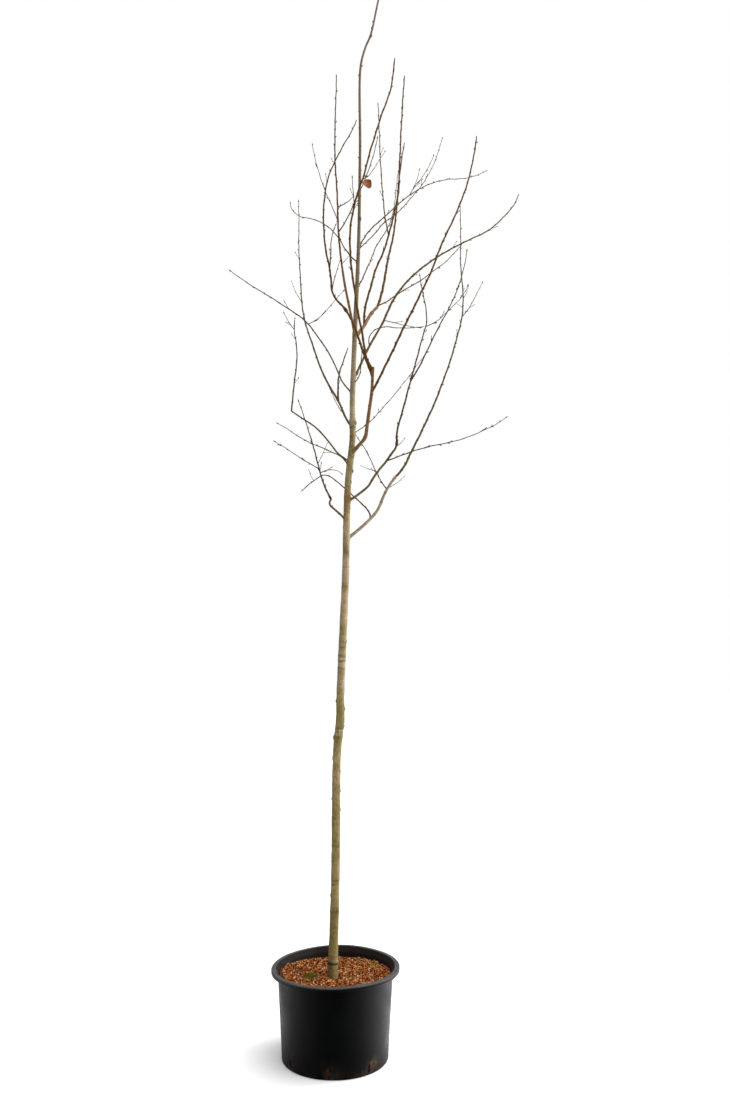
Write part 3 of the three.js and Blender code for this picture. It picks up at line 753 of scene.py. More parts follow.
@lru_cache(maxsize=4)
def crown(seed):
    """Lays out every limb, then the seeded side twigs that stand clear of all of them."""
    lines = {"trunk": trunk_line()}

    def start_of(limb):
        parent = lines[limb.on]
        return parent.points[-1] if limb.at is TIP else parent.points_at(limb.at)

    boughs, stems, shoots = {}, {}, {}
    for name, limb in BOUGHS.items():
        lines[name] = boughs[name] = limb_line(start_of(limb), limb, BOUGH_STEP, COLLAR_SWELL)
    for name, limb in MASSES.items():
        collar = 0 if limb.at is TIP else COLLAR_SWELL
        lines[name] = stem = stems[name] = limb_line(start_of(limb), limb, STEM_STEP, collar)
        shoots[name] = [
            limb_line(stem.points_at(shoot.at), shoot, STEM_STEP, COLLAR_SWELL) for shoot in limb.shoots
        ]
    fine = [limb_line(start_of(limb), limb, STEM_STEP, COLLAR_SWELL) for limb in FINE_TWIGS]
    standing = list(lines.items())
    standing += [(name, line) for name, rows in shoots.items() for line in rows]

    def stands_clear(twig, own, bearer):
        rings = twig.points[twig.rings]
        for name, line in standing:
            tested = rings[1:] if name == own else rings
            if line is not bearer and any(line.clearance(point) < TWIG_CLEAR for point in tested):
                return False
        return True

    def grown(rule):
        made = []
        for name, stem in stems.items():
            for bearer in (stem, *shoots[name]):
                for twig in side_twigs(bearer, rule, draw):
                    if stands_clear(twig, name, bearer):
                        made.append(twig)
                        standing.append((name, twig))
        return made

    draw = seeded(seed)
    twigs = grown(TWIG_RULE)
    return Crown(lines["trunk"], boughs, stems, shoots, fine, twigs, grown(SPUR_RULE))


def bud_places(line, spacing, first, seed):
    """Distances of the buds along a shoot, with the bearing of each."""
    draw = np.random.default_rng(seed)
    place = first
    turn = draw.uniform(0, 360)
    while place < line.distances[-1] - spacing * LAST_BUD:
        yield place, math.radians(turn)
        place += spacing * draw.uniform(*SPACING_SPREAD)
        turn += TWIG_TURN + draw.uniform(-BUD_TURN_SPREAD, BUD_TURN_SPREAD)


def living_line(line, seed, spacing, knuckles=(), share=1.0):
    """A line with the small kinks and swellings that its buds give it, and its knuckles."""
    count = max(int(line.distances[-1] / SKIN_STEP), LEAST_SKIN_STEPS)
    places = np.linspace(0, line.distances[-1], count + 1)
    points = line.points_at(places)
    radii = line.radii_at(places) * LIVING_SWELL * share
    draw = np.random.default_rng(seed)
    fade = np.clip(places / SWAY_FADE, 0, 1)
    for way in carried_frames(points):
        sway = np.zeros(len(places))
        for size, wave in SWAYS:
            turn = draw.uniform(0, 2 * math.pi)
            sway += size * np.sin(places * 2 * math.pi / (wave * draw.uniform(*WAVE_SPREAD)) + turn)
        points = points + way * (sway * fade)[:, None]
    swells = [(place, BUD_SWELL_REACH, BUD_SWELL) for place, _ in bud_places(line, spacing, spacing, seed)]
    for place, reach, swell in (*swells, *knuckles):
        radii = radii * (1 + swell * bell((places - place) / reach))
    return Line(points, radii, places)


def tipped(line):
    """A line whose last few millimetres close to a blunt point."""
    away = line.distances[-1] - line.distances
    close = np.clip(TIP_SHARE + (1 - TIP_SHARE) * away / TIP_LENGTH, 0, 1)
    return Line(line.points, line.radii * close, line.distances)


# Node helpers.


def add(tree, kind, inputs=None, **settings):
    """New node with its settings made and its inputs set or linked."""
    node = tree.nodes.new(kind)
    for name, value in settings.items():
        setattr(node, name, value)
    for name, value in (inputs or {}).items():
        if isinstance(value, bpy.types.NodeSocket):
            tree.links.new(value, node.inputs[name])
        else:
            node.inputs[name].default_value = value
    return node


def result(tree, kind, inputs=None, **settings):
    """First output of a new node."""
    return add(tree, kind, inputs, **settings).outputs[0]


def group(kind, name, inputs, outputs):
    """Empty node group: the outputs of its first node and the inputs of its last one."""
    tree = bpy.data.node_groups.new(name, kind)
    for label, socket, value in inputs:
        made = tree.interface.new_socket(label, in_out="INPUT", socket_type=f"NodeSocket{socket}")
        if value is not None:
            made.default_value = value
    for label, socket in outputs:
        tree.interface.new_socket(label, in_out="OUTPUT", socket_type=f"NodeSocket{socket}")
    return tree, tree.nodes.new("NodeGroupInput").outputs, tree.nodes.new("NodeGroupOutput").inputs


def math_node(tree, operation, *values):
    """Number worked out from others."""
    return result(tree, "ShaderNodeMath", dict(enumerate(values)), operation=operation)


def times(tree, first, second):
    """Product of two numbers."""
    return math_node(tree, "MULTIPLY", first, second)


def vector_math(tree, operation, *values):
    """Vector worked out from others."""
    return result(tree, "ShaderNodeVectorMath", dict(enumerate(values)), operation=operation)


def noise(tree, place, scale, **inputs):
    """Smooth noise over a place."""
    return result(tree, "ShaderNodeTexNoise", {"Vector": place, "Scale": scale, **inputs})


def spread(tree, value, low, high, to_low=0.0, to_high=1.0):
    """Value mapped from one range to another and held inside it."""
    inputs = {"Value": value, "From Min": low, "From Max": high, "To Min": to_low, "To Max": to_high}
    return result(tree, "ShaderNodeMapRange", inputs)


def blended(tree, share, first, second):
    """Colour mix."""
    node = add(tree, "ShaderNodeMix", data_type="RGBA")
    for name, value in (("Factor_Float", share), ("A_Color", first), ("B_Color", second)):
        socket = next(s for s in node.inputs if s.identifier == name)
        if isinstance(value, bpy.types.NodeSocket):
            tree.links.new(value, socket)
        else:
            socket.default_value = (*value[:3], 1)
    return next(s for s in node.outputs if s.identifier == "Result_Color")


def layered(tree, colour, *layers):
    """Colour under layers, each a share and a colour of its own."""
    for share, skin in layers:
        colour = blended(tree, share, colour, skin)
    return colour


def shades(colour, deep, light, lift=0.0):
    """A darker and a lighter tone of one colour."""
    return [c * deep for c in colour], [min(c * light + lift, 1) for c in colour]


def attribute(tree, name):
    """Number stored on the mesh under a name."""
    return add(tree, "ShaderNodeAttribute", attribute_name=name).outputs["Fac"]


def object_place(tree):
    """Place on the piece in the part's frame."""
    return add(tree, "ShaderNodeTexCoord").outputs["Object"]


def parts_of(tree, vector):
    """X, Y and Z of a vector."""
    return add(tree, "ShaderNodeSeparateXYZ", {0: vector}).outputs


def material(name, roughness, gloss=0.2):
    """Material with its tree and the inputs of its one shader."""
    made = bpy.data.materials.new(name)
    made.use_nodes = True
    shader = made.node_tree.nodes["Principled BSDF"].inputs
    shader["Roughness"].default_value = roughness
    shader["Specular IOR Level"].default_value = gloss
    return made, made.node_tree, shader


def bumped(tree, shader, height, strength, distance):
    """Fine relief on a material."""
    inputs = {"Strength": strength, "Distance": distance, "Height": height}
    tree.links.new(add(tree, "ShaderNodeBump", inputs).outputs["Normal"], shader["Normal"])


# Finishes.

# Heights in metres between which the trunk's bark turns to that of younger years.
YOUNG_BARK = (2.3, 2.75)
LEADER_BARK = (3.6, 3.85)
BAND_COLOUR = (0.62, 0.56, 0.38)
FOOT_LINE_COLOUR = (0.035, 0.024, 0.012)
# Colour of the painted shadow under the rings, of the knot rims and of the pores.
SHADOW_RIM_AND_PORE_COLOUR = (0.055, 0.04, 0.022)
DUST_COLOUR = (0.062, 0.06, 0.057)
MIX_COLOURS = ((0.04, 0.014, 0.007), (0.18, 0.06, 0.025))
LEAF_EDGE_COLOUR = (0.14, 0.05, 0.025)
LEAF_VEIN_COLOUR = (0.55, 0.29, 0.13)
VEIN_WAVES = 52.0
VEIN_LEAN = 0.4


@lru_cache(maxsize=None)
def bark_mottle():
    """Streaks, patches and breathing pores of smooth bark."""
    tree, start, end = group(
        "ShaderNodeTree", "bark_mottle",
        (("Place", "Vector", None), ("Grain", "Float", 400.0), ("Stretch", "Float", 0.3),
         ("Patch", "Float", 22.0)),
        (("Tone", "Float"), ("Patches", "Float"), ("Pores", "Float"), ("Height", "Float")),
    )
    place, fineness = start["Place"], start["Grain"]
    scale = result(tree, "ShaderNodeCombineXYZ", {"X": 1.0, "Y": 1.0, "Z": start["Stretch"]})
    grain = noise(tree, vector_math(tree, "MULTIPLY", place, scale), fineness, Detail=5.0, Roughness=0.62)
    patch = noise(tree, place, start["Patch"], Detail=4.0)
    inputs = {"Vector": vector_math(tree, "MULTIPLY", place, (1.0, 1.0, 2.2)),
              "Scale": times(tree, fineness, 0.42)}
    cells = add(tree, "ShaderNodeTexVoronoi", inputs).outputs["Distance"]
    pores = times(tree, spread(tree, cells, 0.12, 0.26, 1.0, 0.0), spread(tree, patch, 0.45, 0.6))
    grain_share = spread(tree, grain, 0.3, 0.7)
    patch_share = spread(tree, patch, 0.32, 0.68)
    tone = math_node(tree, "ADD", times(tree, grain_share, 0.55), times(tree, patch_share, 0.45))
    height = math_node(tree, "ADD", grain, times(tree, pores, 0.35))
    for name, value in (("Tone", tone), ("Patches", patch_share), ("Pores", pores), ("Height", height)):
        tree.links.new(value, end[name])
    return tree


@lru_cache(maxsize=None)
def loose_grain():
    """Crumbs and stains of damp bark, mud and dust."""
    tree, start, end = group(
        "ShaderNodeTree", "loose_grain",
        (("Place", "Vector", None), ("Scale", "Float", 300.0)),
        (("Tone", "Float"), ("Stain", "Float"), ("Height", "Float")),
    )
    crumbs = noise(tree, start["Place"], start["Scale"], Detail=5.0, Roughness=0.65)
    stain = noise(tree, start["Place"], times(tree, start["Scale"], 0.14), Detail=4.0)
    tree.links.new(spread(tree, crumbs, 0.28, 0.72), end["Tone"])
    tree.links.new(spread(tree, stain, 0.36, 0.64), end["Stain"])
    tree.links.new(crumbs, end["Height"])
    return tree


def grouped(tree, source, **values):
    """One of the shared effects, with this material's own values."""
    node = add(tree, "ShaderNodeGroup", {}, node_tree=source)
    tree.links.new(object_place(tree), node.inputs["Place"])
    for name, value in values.items():
        node.inputs[name].default_value = value
    return node.outputs


def darkest(tree, mottle, pores):
    """Share of the painted shadow under the rings, the trunk's dark knot rims and the pores of bark."""
    return math_node(tree, "MAXIMUM", attribute(tree, "ring"), times(tree, mottle["Pores"], pores))


def trunk_bark(bark):
    """Olive to pale bark with its stretches of other tones, younger towards the top."""
    made, tree, shader = material("trunk_bark", roughness=0.72, gloss=0.1)
    mottle = grouped(tree, bark_mottle(), Grain=140.0, Stretch=0.5, Patch=16.0)
    tone, patches = mottle["Tone"], mottle["Patches"]
    uneven = spread(tree, patches, 0.1, 0.7, 0.35, 1.0)
    rosy = times(tree, attribute(tree, "rosy"), uneven)
    rosy = math_node(tree, "MAXIMUM", rosy, spread(tree, patches, 0.62, 1.0, 0.0, 0.6))
    film = times(tree, attribute(tree, "film"), spread(tree, patches, 0, 1, 0.45, 1.0))
    height = parts_of(tree, object_place(tree))["Z"]
    young, leader = (blended(tree, tone, *shades(c, 0.7, 1.3)) for c in (bark.young, bark.leader))
    colour = layered(
        tree, bark.olive,
        (spread(tree, tone, 0.12, 0.55), bark.khaki),
        (spread(tree, tone, 0.55, 0.95), bark.pale),
        (rosy, bark.rosy),
        (times(tree, attribute(tree, "ashen"), uneven), bark.ashen),
        (attribute(tree, "dusky"), bark.olive),
        (attribute(tree, "raw"), bark.joint),
        (film, bark.green),
        (spread(tree, height, *YOUNG_BARK), young),
        (spread(tree, height, *LEADER_BARK), leader),
        (attribute(tree, "band"), BAND_COLOUR),
        # Dark line near the foot and the darker bark below it.
        (attribute(tree, "damp"), FOOT_LINE_COLOUR),
        # Painted shadow under the rings, with the knot rims and pores.
        (darkest(tree, mottle, 0.65), SHADOW_RIM_AND_PORE_COLOUR),
    )
    tree.links.new(colour, shader["Base Color"])
    tree.links.new(spread(tree, tone, 0, 1, 0.62, 0.82), shader["Roughness"])
    bumped(tree, shader, mottle["Height"], strength=0.55, distance=0.0012)
    return made


def bough_bark(name, colour, bark):
    """Bark of one colour, older at the foot and raw at the joints."""
    made, tree, shader = material(name, roughness=0.66, gloss=0.08)
    mottle = grouped(tree, bark_mottle(), Grain=420.0, Stretch=0.4, Patch=30.0)
    tone = mottle["Tone"]
    skin = layered(
        tree, blended(tree, tone, *shades(colour, 0.55, 1.5, 0.02)),
        (attribute(tree, "age"), blended(tree, tone, bark.olive, bark.khaki)),
        (attribute(tree, "joint"), bark.joint),
        # Painted shadow under the rings, with the pores.
        (darkest(tree, mottle, 0.45), [c * 0.3 for c in colour]),
    )
    tree.links.new(skin, shader["Base Color"])
    tree.links.new(spread(tree, tone, 0, 1, 0.52, 0.74), shader["Roughness"])
    bumped(tree, shader, mottle["Height"], strength=0.5, distance=0.0008)
    return made


def shoot_bark(name, colour):
    """Thin bark of one colour."""
    made, tree, shader = material(name, roughness=0.55, gloss=0.06)
    mottle = grouped(tree, bark_mottle(), Grain=700.0, Stretch=0.5, Patch=45.0)
    tree.links.new(blended(tree, mottle["Tone"], *shades(colour, 0.72, 1.3)), shader["Base Color"])
    bumped(tree, shader, mottle["Height"], strength=0.4, distance=0.0005)
    return made


def chip_wood(name, colour):
    """Rough bark and wood of the chips."""
    made, tree, shader = material(name, roughness=0.85, gloss=0.08)
    grain = grouped(tree, loose_grain(), Scale=420.0)
    tree.links.new(blended(tree, grain["Tone"], *shades(colour, 0.4, 1.5)), shader["Base Color"])
    bumped(tree, shader, grain["Height"], strength=0.6, distance=0.001)
    return made


def pot_plastic(pot):
    """Black plastic with dust on the rim, mud at the foot and an inner wall soiled and darkened with painted
    shade.
    """
    made, tree, shader = material("pot_plastic", roughness=0.36, gloss=0.3)
    grain = grouped(tree, loose_grain(), Scale=120.0)
    mud = times(tree, attribute(tree, "mud"), spread(tree, grain["Stain"], 0.15, 0.75))
    mud = times(tree, mud, spread(tree, grain["Tone"], 0.1, 0.7))
    dust = times(tree, attribute(tree, "dust"), spread(tree, grain["Tone"], 0.2, 0.9, 0.35, 1.0))
    # Inner wall: soil stain and painted shade, dark and rough.
    soiled = attribute(tree, "soiled")
    colour = layered(tree, pot.plastic, (dust, DUST_COLOUR), (soiled, pot.soiled), (mud, pot.mud))
    tree.links.new(colour, shader["Base Color"])
    rough = spread(tree, grain["Stain"], 0, 1, 0.34, 0.48)
    for share, rougher in ((mud, 0.4), (dust, 0.16), (soiled, 0.45)):
        rough = math_node(tree, "ADD", rough, times(tree, share, rougher))
    tree.links.new(rough, shader["Roughness"])
    bumped(tree, shader, grain["Height"], strength=0.08, distance=0.0006)
    return made


def mix_soil():
    """Damp crumbs between the chips."""
    made, tree, shader = material("damp_mix", roughness=0.95, gloss=0.08)
    grain = grouped(tree, loose_grain(), Scale=260.0)
    tree.links.new(blended(tree, grain["Tone"], *MIX_COLOURS), shader["Base Color"])
    bumped(tree, shader, grain["Height"], strength=0.9, distance=0.003)
    return made


def moss_green(mix):
    """Soft green of the moss."""
    made, tree, shader = material("moss_green", roughness=0.8)
    grain = grouped(tree, loose_grain(), Scale=500.0)
    tree.links.new(blended(tree, grain["Tone"], *shades(mix.moss, 0.45, 1.6)), shader["Base Color"])
    return made


def leaf_skin(leaf):
    """Withered leaf with pale veins and one dark edge."""
    made, tree, shader = material("withered_leaf", roughness=0.62)
    place = add(tree, "ShaderNodeAttribute", attribute_name="leaf_place").outputs["Vector"]
    place = parts_of(tree, place)
    across = math_node(tree, "ABSOLUTE", place["Y"])
    lean = math_node(tree, "SUBTRACT", place["X"], times(tree, across, VEIN_LEAN))
    veins = spread(tree, math_node(tree, "SINE", times(tree, lean, VEIN_WAVES)), 0.72, 1.0)
    lines = math_node(tree, "MAXIMUM", veins, spread(tree, across, 0.02, 0.09, 1.0, 0.0))
    grain = grouped(tree, loose_grain(), Scale=600.0)
    colour = layered(
        tree, blended(tree, grain["Tone"], *shades(leaf, 0.5, 1.35)),
        (spread(tree, place["Y"], -0.5, -0.9, 0.0, 0.85), LEAF_EDGE_COLOUR),
        (times(tree, lines, 0.55), LEAF_VEIN_COLOUR),
    )
    tree.links.new(colour, shader["Base Color"])
    bumped(tree, shader, lines, strength=0.5, distance=0.0006)
    return made


# Growing trees of nodes.

# Steps from a scatter's seed to the seeds of its sizes and its heights.
SIZE_SEED = 50.0
LIFT_SEED = 90.0
CRUMPLE_GRAIN = 160.0


def grown_piece(name, slot, source, tree, values, *nodes):
    """Piece that a tree of nodes grows on a mesh."""
    host = placed("growing", source)
    modifier = host.modifiers.new(tree.name, "NODES")
    modifier.node_group = tree
    for item in tree.interface.items_tree:
        if item.item_type == "SOCKET" and item.in_out == "INPUT" and item.name in values:
            modifier[item.identifier] = values[item.name]
    piece(name, finished_mesh(host, name), slot, *nodes)


def grower(name, *inputs):
    """Empty tree of nodes that takes a mesh, its own inputs and a material."""
    ends = (("Geometry", "Geometry", None), ("Material", "Material", None))
    return group("GeometryNodeTree", name, (ends[0], *inputs, ends[1]), (("Geometry", "Geometry"),))


def finish_tree(tree, start, end, geometry):
    """Ends a tree: instances made real, material set."""
    real = result(tree, "GeometryNodeRealizeInstances", {"Geometry": geometry})
    inputs = {"Geometry": real, "Material": start["Material"]}
    tree.links.new(result(tree, "GeometryNodeSetMaterial", inputs), end["Geometry"])
    return tree


@lru_cache(maxsize=None)
def limb_sweep():
    """Round limbs along lines of edges, as thick as each point says."""
    tree, start, end = grower("limb_sweep", ("Sides", "Int", 8))
    inputs = {
        "Curve": result(tree, "GeometryNodeMeshToCurve", {"Mesh": start["Geometry"]}),
        "Profile Curve": result(
            tree, "GeometryNodeCurvePrimitiveCircle", {"Resolution": start["Sides"], "Radius": 1.0}),
        "Scale": result(tree, "GeometryNodeInputNamedAttribute", {"Name": "thickness"}),
        "Fill Caps": True,
    }
    tube = result(tree, "GeometryNodeCurveToMesh", inputs)
    return finish_tree(tree, start, end, result(tree, "GeometryNodeSetShadeSmooth", {"Geometry": tube}))


def set_on(tree, points, form, turn, size):
    """A form set on each point."""
    form = add(tree, "GeometryNodeObjectInfo", {"Object": form}).outputs["Geometry"]
    inputs = {"Points": points, "Instance": form, "Rotation": turn, "Scale": size}
    return result(tree, "GeometryNodeInstanceOnPoints", inputs)


@lru_cache(maxsize=None)
def bud_spread():
    """One bud at each point, turned to its heading and as long as the point says."""
    tree, start, end = grower("bud_spread", ("Bud", "Object", None))
    kind = "GeometryNodeInputNamedAttribute"
    heading = result(tree, kind, {"Name": "heading"}, data_type="FLOAT_VECTOR")
    size = result(tree, kind, {"Name": "size"})
    turn = result(tree, "FunctionNodeAlignRotationToVector", {"Vector": heading}, axis="Z")
    points = result(tree, "GeometryNodeMeshToPoints", {"Mesh": start["Geometry"]})
    buds = set_on(tree, points, start["Bud"], turn, size)
    return finish_tree(tree, start, end, result(tree, "GeometryNodeSetShadeSmooth", {"Geometry": buds}))


@lru_cache(maxsize=None)
def loose_scatter():
    """Shapes strewn over a surface, each with its own turn, tilt and size."""
    tree, start, end = grower(
        "loose_scatter",
        ("Form", "Object", None), ("Density", "Float", 1000.0), ("Seed", "Int", 1),
        ("Smallest", "Vector", (0.005, 0.005, 0.005)), ("Largest", "Vector", (0.01, 0.01, 0.01)),
        ("Tilt", "Float", 0.5), ("Lift", "Float", 0.0), ("Crumple", "Float", 0.0),
    )
    seed, tilt = start["Seed"], start["Tilt"]

    def drawn(low, high, seed):
        inputs = {0: low, 1: high, "Seed": seed}
        return result(tree, "FunctionNodeRandomValue", inputs, data_type="FLOAT_VECTOR")

    inputs = {"Mesh": start["Geometry"], "Density": start["Density"], "Seed": seed}
    points = result(tree, "GeometryNodeDistributePointsOnFaces", inputs)
    back = times(tree, tilt, -1.0)
    low = result(tree, "ShaderNodeCombineXYZ", {"X": back, "Y": back, "Z": -math.pi})
    high = result(tree, "ShaderNodeCombineXYZ", {"X": tilt, "Y": tilt, "Z": math.pi})
    turn = result(tree, "FunctionNodeEulerToRotation", {"Euler": drawn(low, high, seed)})
    size = drawn(start["Smallest"], start["Largest"], math_node(tree, "ADD", seed, SIZE_SEED))
    inputs = {2: 0.0, 3: start["Lift"], "Seed": math_node(tree, "ADD", seed, LIFT_SEED)}
    rise = add(tree, "FunctionNodeRandomValue", inputs).outputs[1]
    lift = result(tree, "ShaderNodeCombineXYZ", {"Z": rise})
    points = result(tree, "GeometryNodeSetPosition", {"Geometry": points, "Offset": lift})
    strewn = set_on(tree, points, start["Form"], turn, size)
    strewn = result(tree, "GeometryNodeRealizeInstances", {"Geometry": strewn})
    crumple = add(tree, "ShaderNodeTexNoise", {"Scale": CRUMPLE_GRAIN, "Detail": 2.0}).outputs[1]
    centred = vector_math(tree, "SUBTRACT", crumple, (0.5, 0.5, 0.5))
    inputs = {0: centred, "Scale": start["Crumple"]}
    bend = result(tree, "ShaderNodeVectorMath", inputs, operation="SCALE")
    strewn = result(tree, "GeometryNodeSetPosition", {"Geometry": strewn, "Offset": bend})
    return finish_tree(tree, start, end, strewn)


# Pot.

SLOT_COUNT = 8
SLOT_TURN = 39
SLOT_WIDTH = 0.01
SLOT_LOW = 0.007
SLOT_HIGH = 0.036
SLOT_END_STEPS = 8
# How far the plugs that cut the slots reach in and out from the foot's radius.
PLUG_REACH = (-0.014, 0.012)
POT_SEGMENTS = 168
POT_STEP = 0.012
POT_FLOOR = 0.005
POT_SHARP = 38
FOOT_INSET = 0.0004
BELLY = 0.0028
BELLY_HEIGHT = 0.06
RIM_DEPTH = 0.013
RIM_ROUNDING = 0.0045
RIM_INWARD = 0.008
RIM_MIDDLE = 0.2055
THROAT_DROP = 0.004
# How far the rim stands up at the right and at the back and droops at both sides, its ripple, and
# the power of the height that keeps all this near the rim.
RIM_RIGHT = 0.003
RIM_BACK = 0.0035
RIM_SIDES = 0.002
RIM_RIPPLE = 0.0005
RIM_HOLD = 6
# Shares by which the top of the wall stands out at its sides and front, and its dents.
WALL_SIDES = 0.008
WALL_FRONT = 0.012
WALL_DENTS = (0.0016, 0.0012)
# Mud stains: bearing from the right towards the back, height, width, tallness and strength.
MUD_SPOTS = (
    (-45, 0.034, 0.022, 0.016, 1.0), (-141, 0.028, 0.012, 0.024, 0.9), (-12, 0.05, 0.01, 0.016, 0.6),
    (60, 0.02, 0.03, 0.02, 0.7), (150, 0.03, 0.018, 0.02, 0.8),
)
# Mud round each slot and all round the foot: tallness and strength.
SLOT_MUD = (0.042, 0.3)
FOOT_MUD = (0.014, 0.25)
SLOT_MUD_WIDTHS = (0.026, 0.032, 0.038)
DUST_REACH = 0.199
DUST_FADE = 0.003
INNER_WALL_FADE = 0.001


def slot_angles():
    """Bearings of the drain slots."""
    return [math.radians(SLOT_TURN + k * 360 / SLOT_COUNT) for k in range(SLOT_COUNT)]


def slot_plugs(pot):
    """Upright plugs with round ends, set in the wall's foot."""
    shape = bmesh.new()
    half = SLOT_WIDTH / 2
    ends = []
    for centre, first in ((SLOT_HIGH - half, 0), (SLOT_LOW + half, 180)):
        for k in range(SLOT_END_STEPS + 1):
            a = math.radians(first + 180 * k / SLOT_END_STEPS)
            ends.append((half * math.cos(a), centre + half * math.sin(a)))
    for angle in slot_angles():
        out = np.array((math.cos(angle), math.sin(angle)))
        side = np.array((-out[1], out[0]))
        inner, outer = (
            [shape.verts.new((*(out * (pot.foot_radius + reach) + side * y), z)) for y, z in ends]
            for reach in PLUG_REACH
        )
        shape.faces.new(outer)
        shape.faces.new(reversed(inner))
        for k in range(len(ends)):
            j = (k + 1) % len(ends)
            shape.faces.new((inner[k], inner[j], outer[j], outer[k]))
    bmesh.ops.recalc_face_normals(shape, faces=shape.faces)
    mesh = bpy.data.meshes.new("slot_plugs")
    shape.to_mesh(mesh)
    shape.free()
    return placed("slot_plugs", mesh)


def rim_sag(bearing):
    """How far the rim stands over its true height: it droops most at the left."""
    lean = RIM_RIGHT * np.cos(bearing) + RIM_BACK * np.sin(bearing) - RIM_SIDES * np.cos(2 * bearing)
    return lean - RIM_RIPPLE + RIM_RIPPLE * np.sin(5 * bearing + 0.4)


def wall_round(bearing, share):
    """Factor on the wall's radius: the pot is a little out of round towards its top."""
    sides = WALL_SIDES * np.cos(bearing) ** 2
    front = WALL_FRONT * np.clip(-np.sin(bearing), 0, 1) ** 2 * share**4
    broad, small = WALL_DENTS
    dents = broad * np.sin(5 * bearing) + small * np.sin(17 * bearing + 2 * np.sin(3 * bearing))
    return 1 + (sides + front + dents) * share**2


def pot_outline(pot):
    """Half section of the pot, from the middle of its underside round to the middle of its floor."""
    foot, top = pot.foot_radius, pot.height
    shoulder = top - RIM_DEPTH
    inside = pot.shoulder_radius - pot.wall
    outline = rounded((
        (0, 0, 0),
        (foot - FOOT_INSET, 0, 0.005),
        (foot + BELLY, BELLY_HEIGHT, 0.02),
        (pot.shoulder_radius, shoulder, 0.004),
        (pot.rim_radius, shoulder, 0.003),
        (pot.rim_radius, top, RIM_ROUNDING),
        (inside + RIM_INWARD, top, 0.004),
        (inside, shoulder - THROAT_DROP, 0.006),
        (foot - pot.wall, POT_FLOOR, 0.006),
        (0, POT_FLOOR, 0),
    ))
    fine = [outline[0]]
    for a, b in zip(outline, outline[1:]):
        steps = max(int(np.linalg.norm(b - a) / POT_STEP), 1)
        fine += [a + (b - a) * (k + 1) / steps for k in range(steps)]
    return np.array(fine)


def pot_marks(pot, places):
    """Shares of mud, dust and the soiled inner wall with its painted shade at places on the pot."""
    x, y, z = places.T
    bearing, reach = np.arctan2(y, x), np.hypot(x, y)
    near = np.zeros(len(places))
    for k, angle in enumerate(slot_angles()):
        near += bell(angle_from(angle, bearing) * reach / SLOT_MUD_WIDTHS[k % len(SLOT_MUD_WIDTHS)])
    tall, share = SLOT_MUD
    mud = near * bell(z / tall) * share
    tall, share = FOOT_MUD
    mud = mud + share * bell(z / tall)
    for turn, height, width, tall, share in MUD_SPOTS:
        apart = angle_from(math.radians(turn), bearing) * reach
        mud += share * bell(apart / width, (z - height) / tall)
    dust = np.clip((z - (pot.height + rim_sag(bearing)) + RIM_ROUNDING) / DUST_FADE, 0, 1)
    dust *= np.clip((reach - DUST_REACH) / DUST_FADE, 0, 1)
    # The inner wall, soiled and darkened with painted shade.
    shoulder = pot.height - RIM_DEPTH
    heights = (0, shoulder, shoulder + INNER_WALL_FADE)
    middle = np.interp(z, heights, (pot.foot_radius, pot.shoulder_radius, RIM_MIDDLE))
    within = middle - pot.wall / 2 - reach / wall_round(bearing, z / pot.height)
    return {"mud": np.clip(mud, 0, 1), "dust": dust, "soiled": np.clip(within / INNER_WALL_FADE, 0, 1)}


def make_pot(pot):
    """Pot with its drain slots, a little out of round."""
    points, faces = turned(pot_outline(pot), POT_SEGMENTS)
    bearing = np.arctan2(points[:, 1], points[:, 0])
    share = points[:, 2] / pot.height
    points[:, :2] *= wall_round(bearing, share)[:, None]
    points[:, 2] += rim_sag(bearing) * share**RIM_HOLD
    body = placed("pot_body", mesh_of("pot", points, faces, pot_plastic(pot)))
    plugs = slot_plugs(pot)
    cut = body.modifiers.new("slots", "BOOLEAN")
    cut.operation = "DIFFERENCE"
    cut.solver = "EXACT"
    cut.object = plugs
    mesh = finished_mesh(body, "pot_shell")
    bpy.data.objects.remove(plugs)
    mesh.shade_smooth()
    mesh.set_sharp_from_angle(angle=math.radians(POT_SHARP))
    marked(mesh, **pot_marks(pot, points_of(mesh)))
    piece("pot_shell", mesh, "pot", "pot")


# Potting mix.

# The bed lies lower than the solid by the height of the chips, and a little hollow round the stem.
MIX_SINK = 0.0085
MIX_DISH = 0.0095
MIX_DISH_RADIUS = 0.185
MIX_HEAP_LEFT = 0.01
MIX_HEAP_RIGHT = 0.005
MIX_RISE_BACK = 0.006
# Ripples of the bed: height, width and seed.
MIX_RIPPLES = ((0.0018, 0.09, 3), (0.0012, 0.03, 4))
MIX_ROWS = 40
MIX_SEGMENTS = 120
MIX_EYE = 0.002
MIX_GAP = 0.0008
MIX_EDGE_DROP = 0.008
MIX_FLOOR = 0.0054
# Share of the pot's height at which the mix meets the wall.
MIX_SHARE = 0.87
# Tones of chips: name, share of the usual number, how far the highest lie up, and seed.
# The dark tone is partly painted shade between the chips.
CHIP_TONES = (
    ("red", 1.45, 0.004, 11), ("tan", 0.9, 0.006, 12), ("dark", 1.15, 0.006, 13),
    ("pale", 0.33, 0.007, 14), ("mossy", 1.2, 0.007, 15),
)
CHIP_OUTLINE = ((0.5, 0.06), (0.22, 0.27), (-0.3, 0.22), (-0.5, -0.04), (-0.18, -0.25), (0.31, -0.2))
CHIP_HALF = 0.1
# Least and greatest length, width and thickness of a chip, as shares of the usual length.
CHIP_LEAST = (0.4, 0.35, 0.4)
CHIP_MOST = (1.5, 1.1, 1.0)
CHIP_TILT = 0.6
CHIP_CRUMPLE = 0.004
# Inner and outer radius, rows and segments of the ring that chips lie on, of a patch and of a tuft.
CHIP_RING = (0.016, 0.184, 26, 80)
PATCH_RING = (0.001, 1.0, 6, 24)
TUFT_RING = (0.02, 1.0, 5, 16)
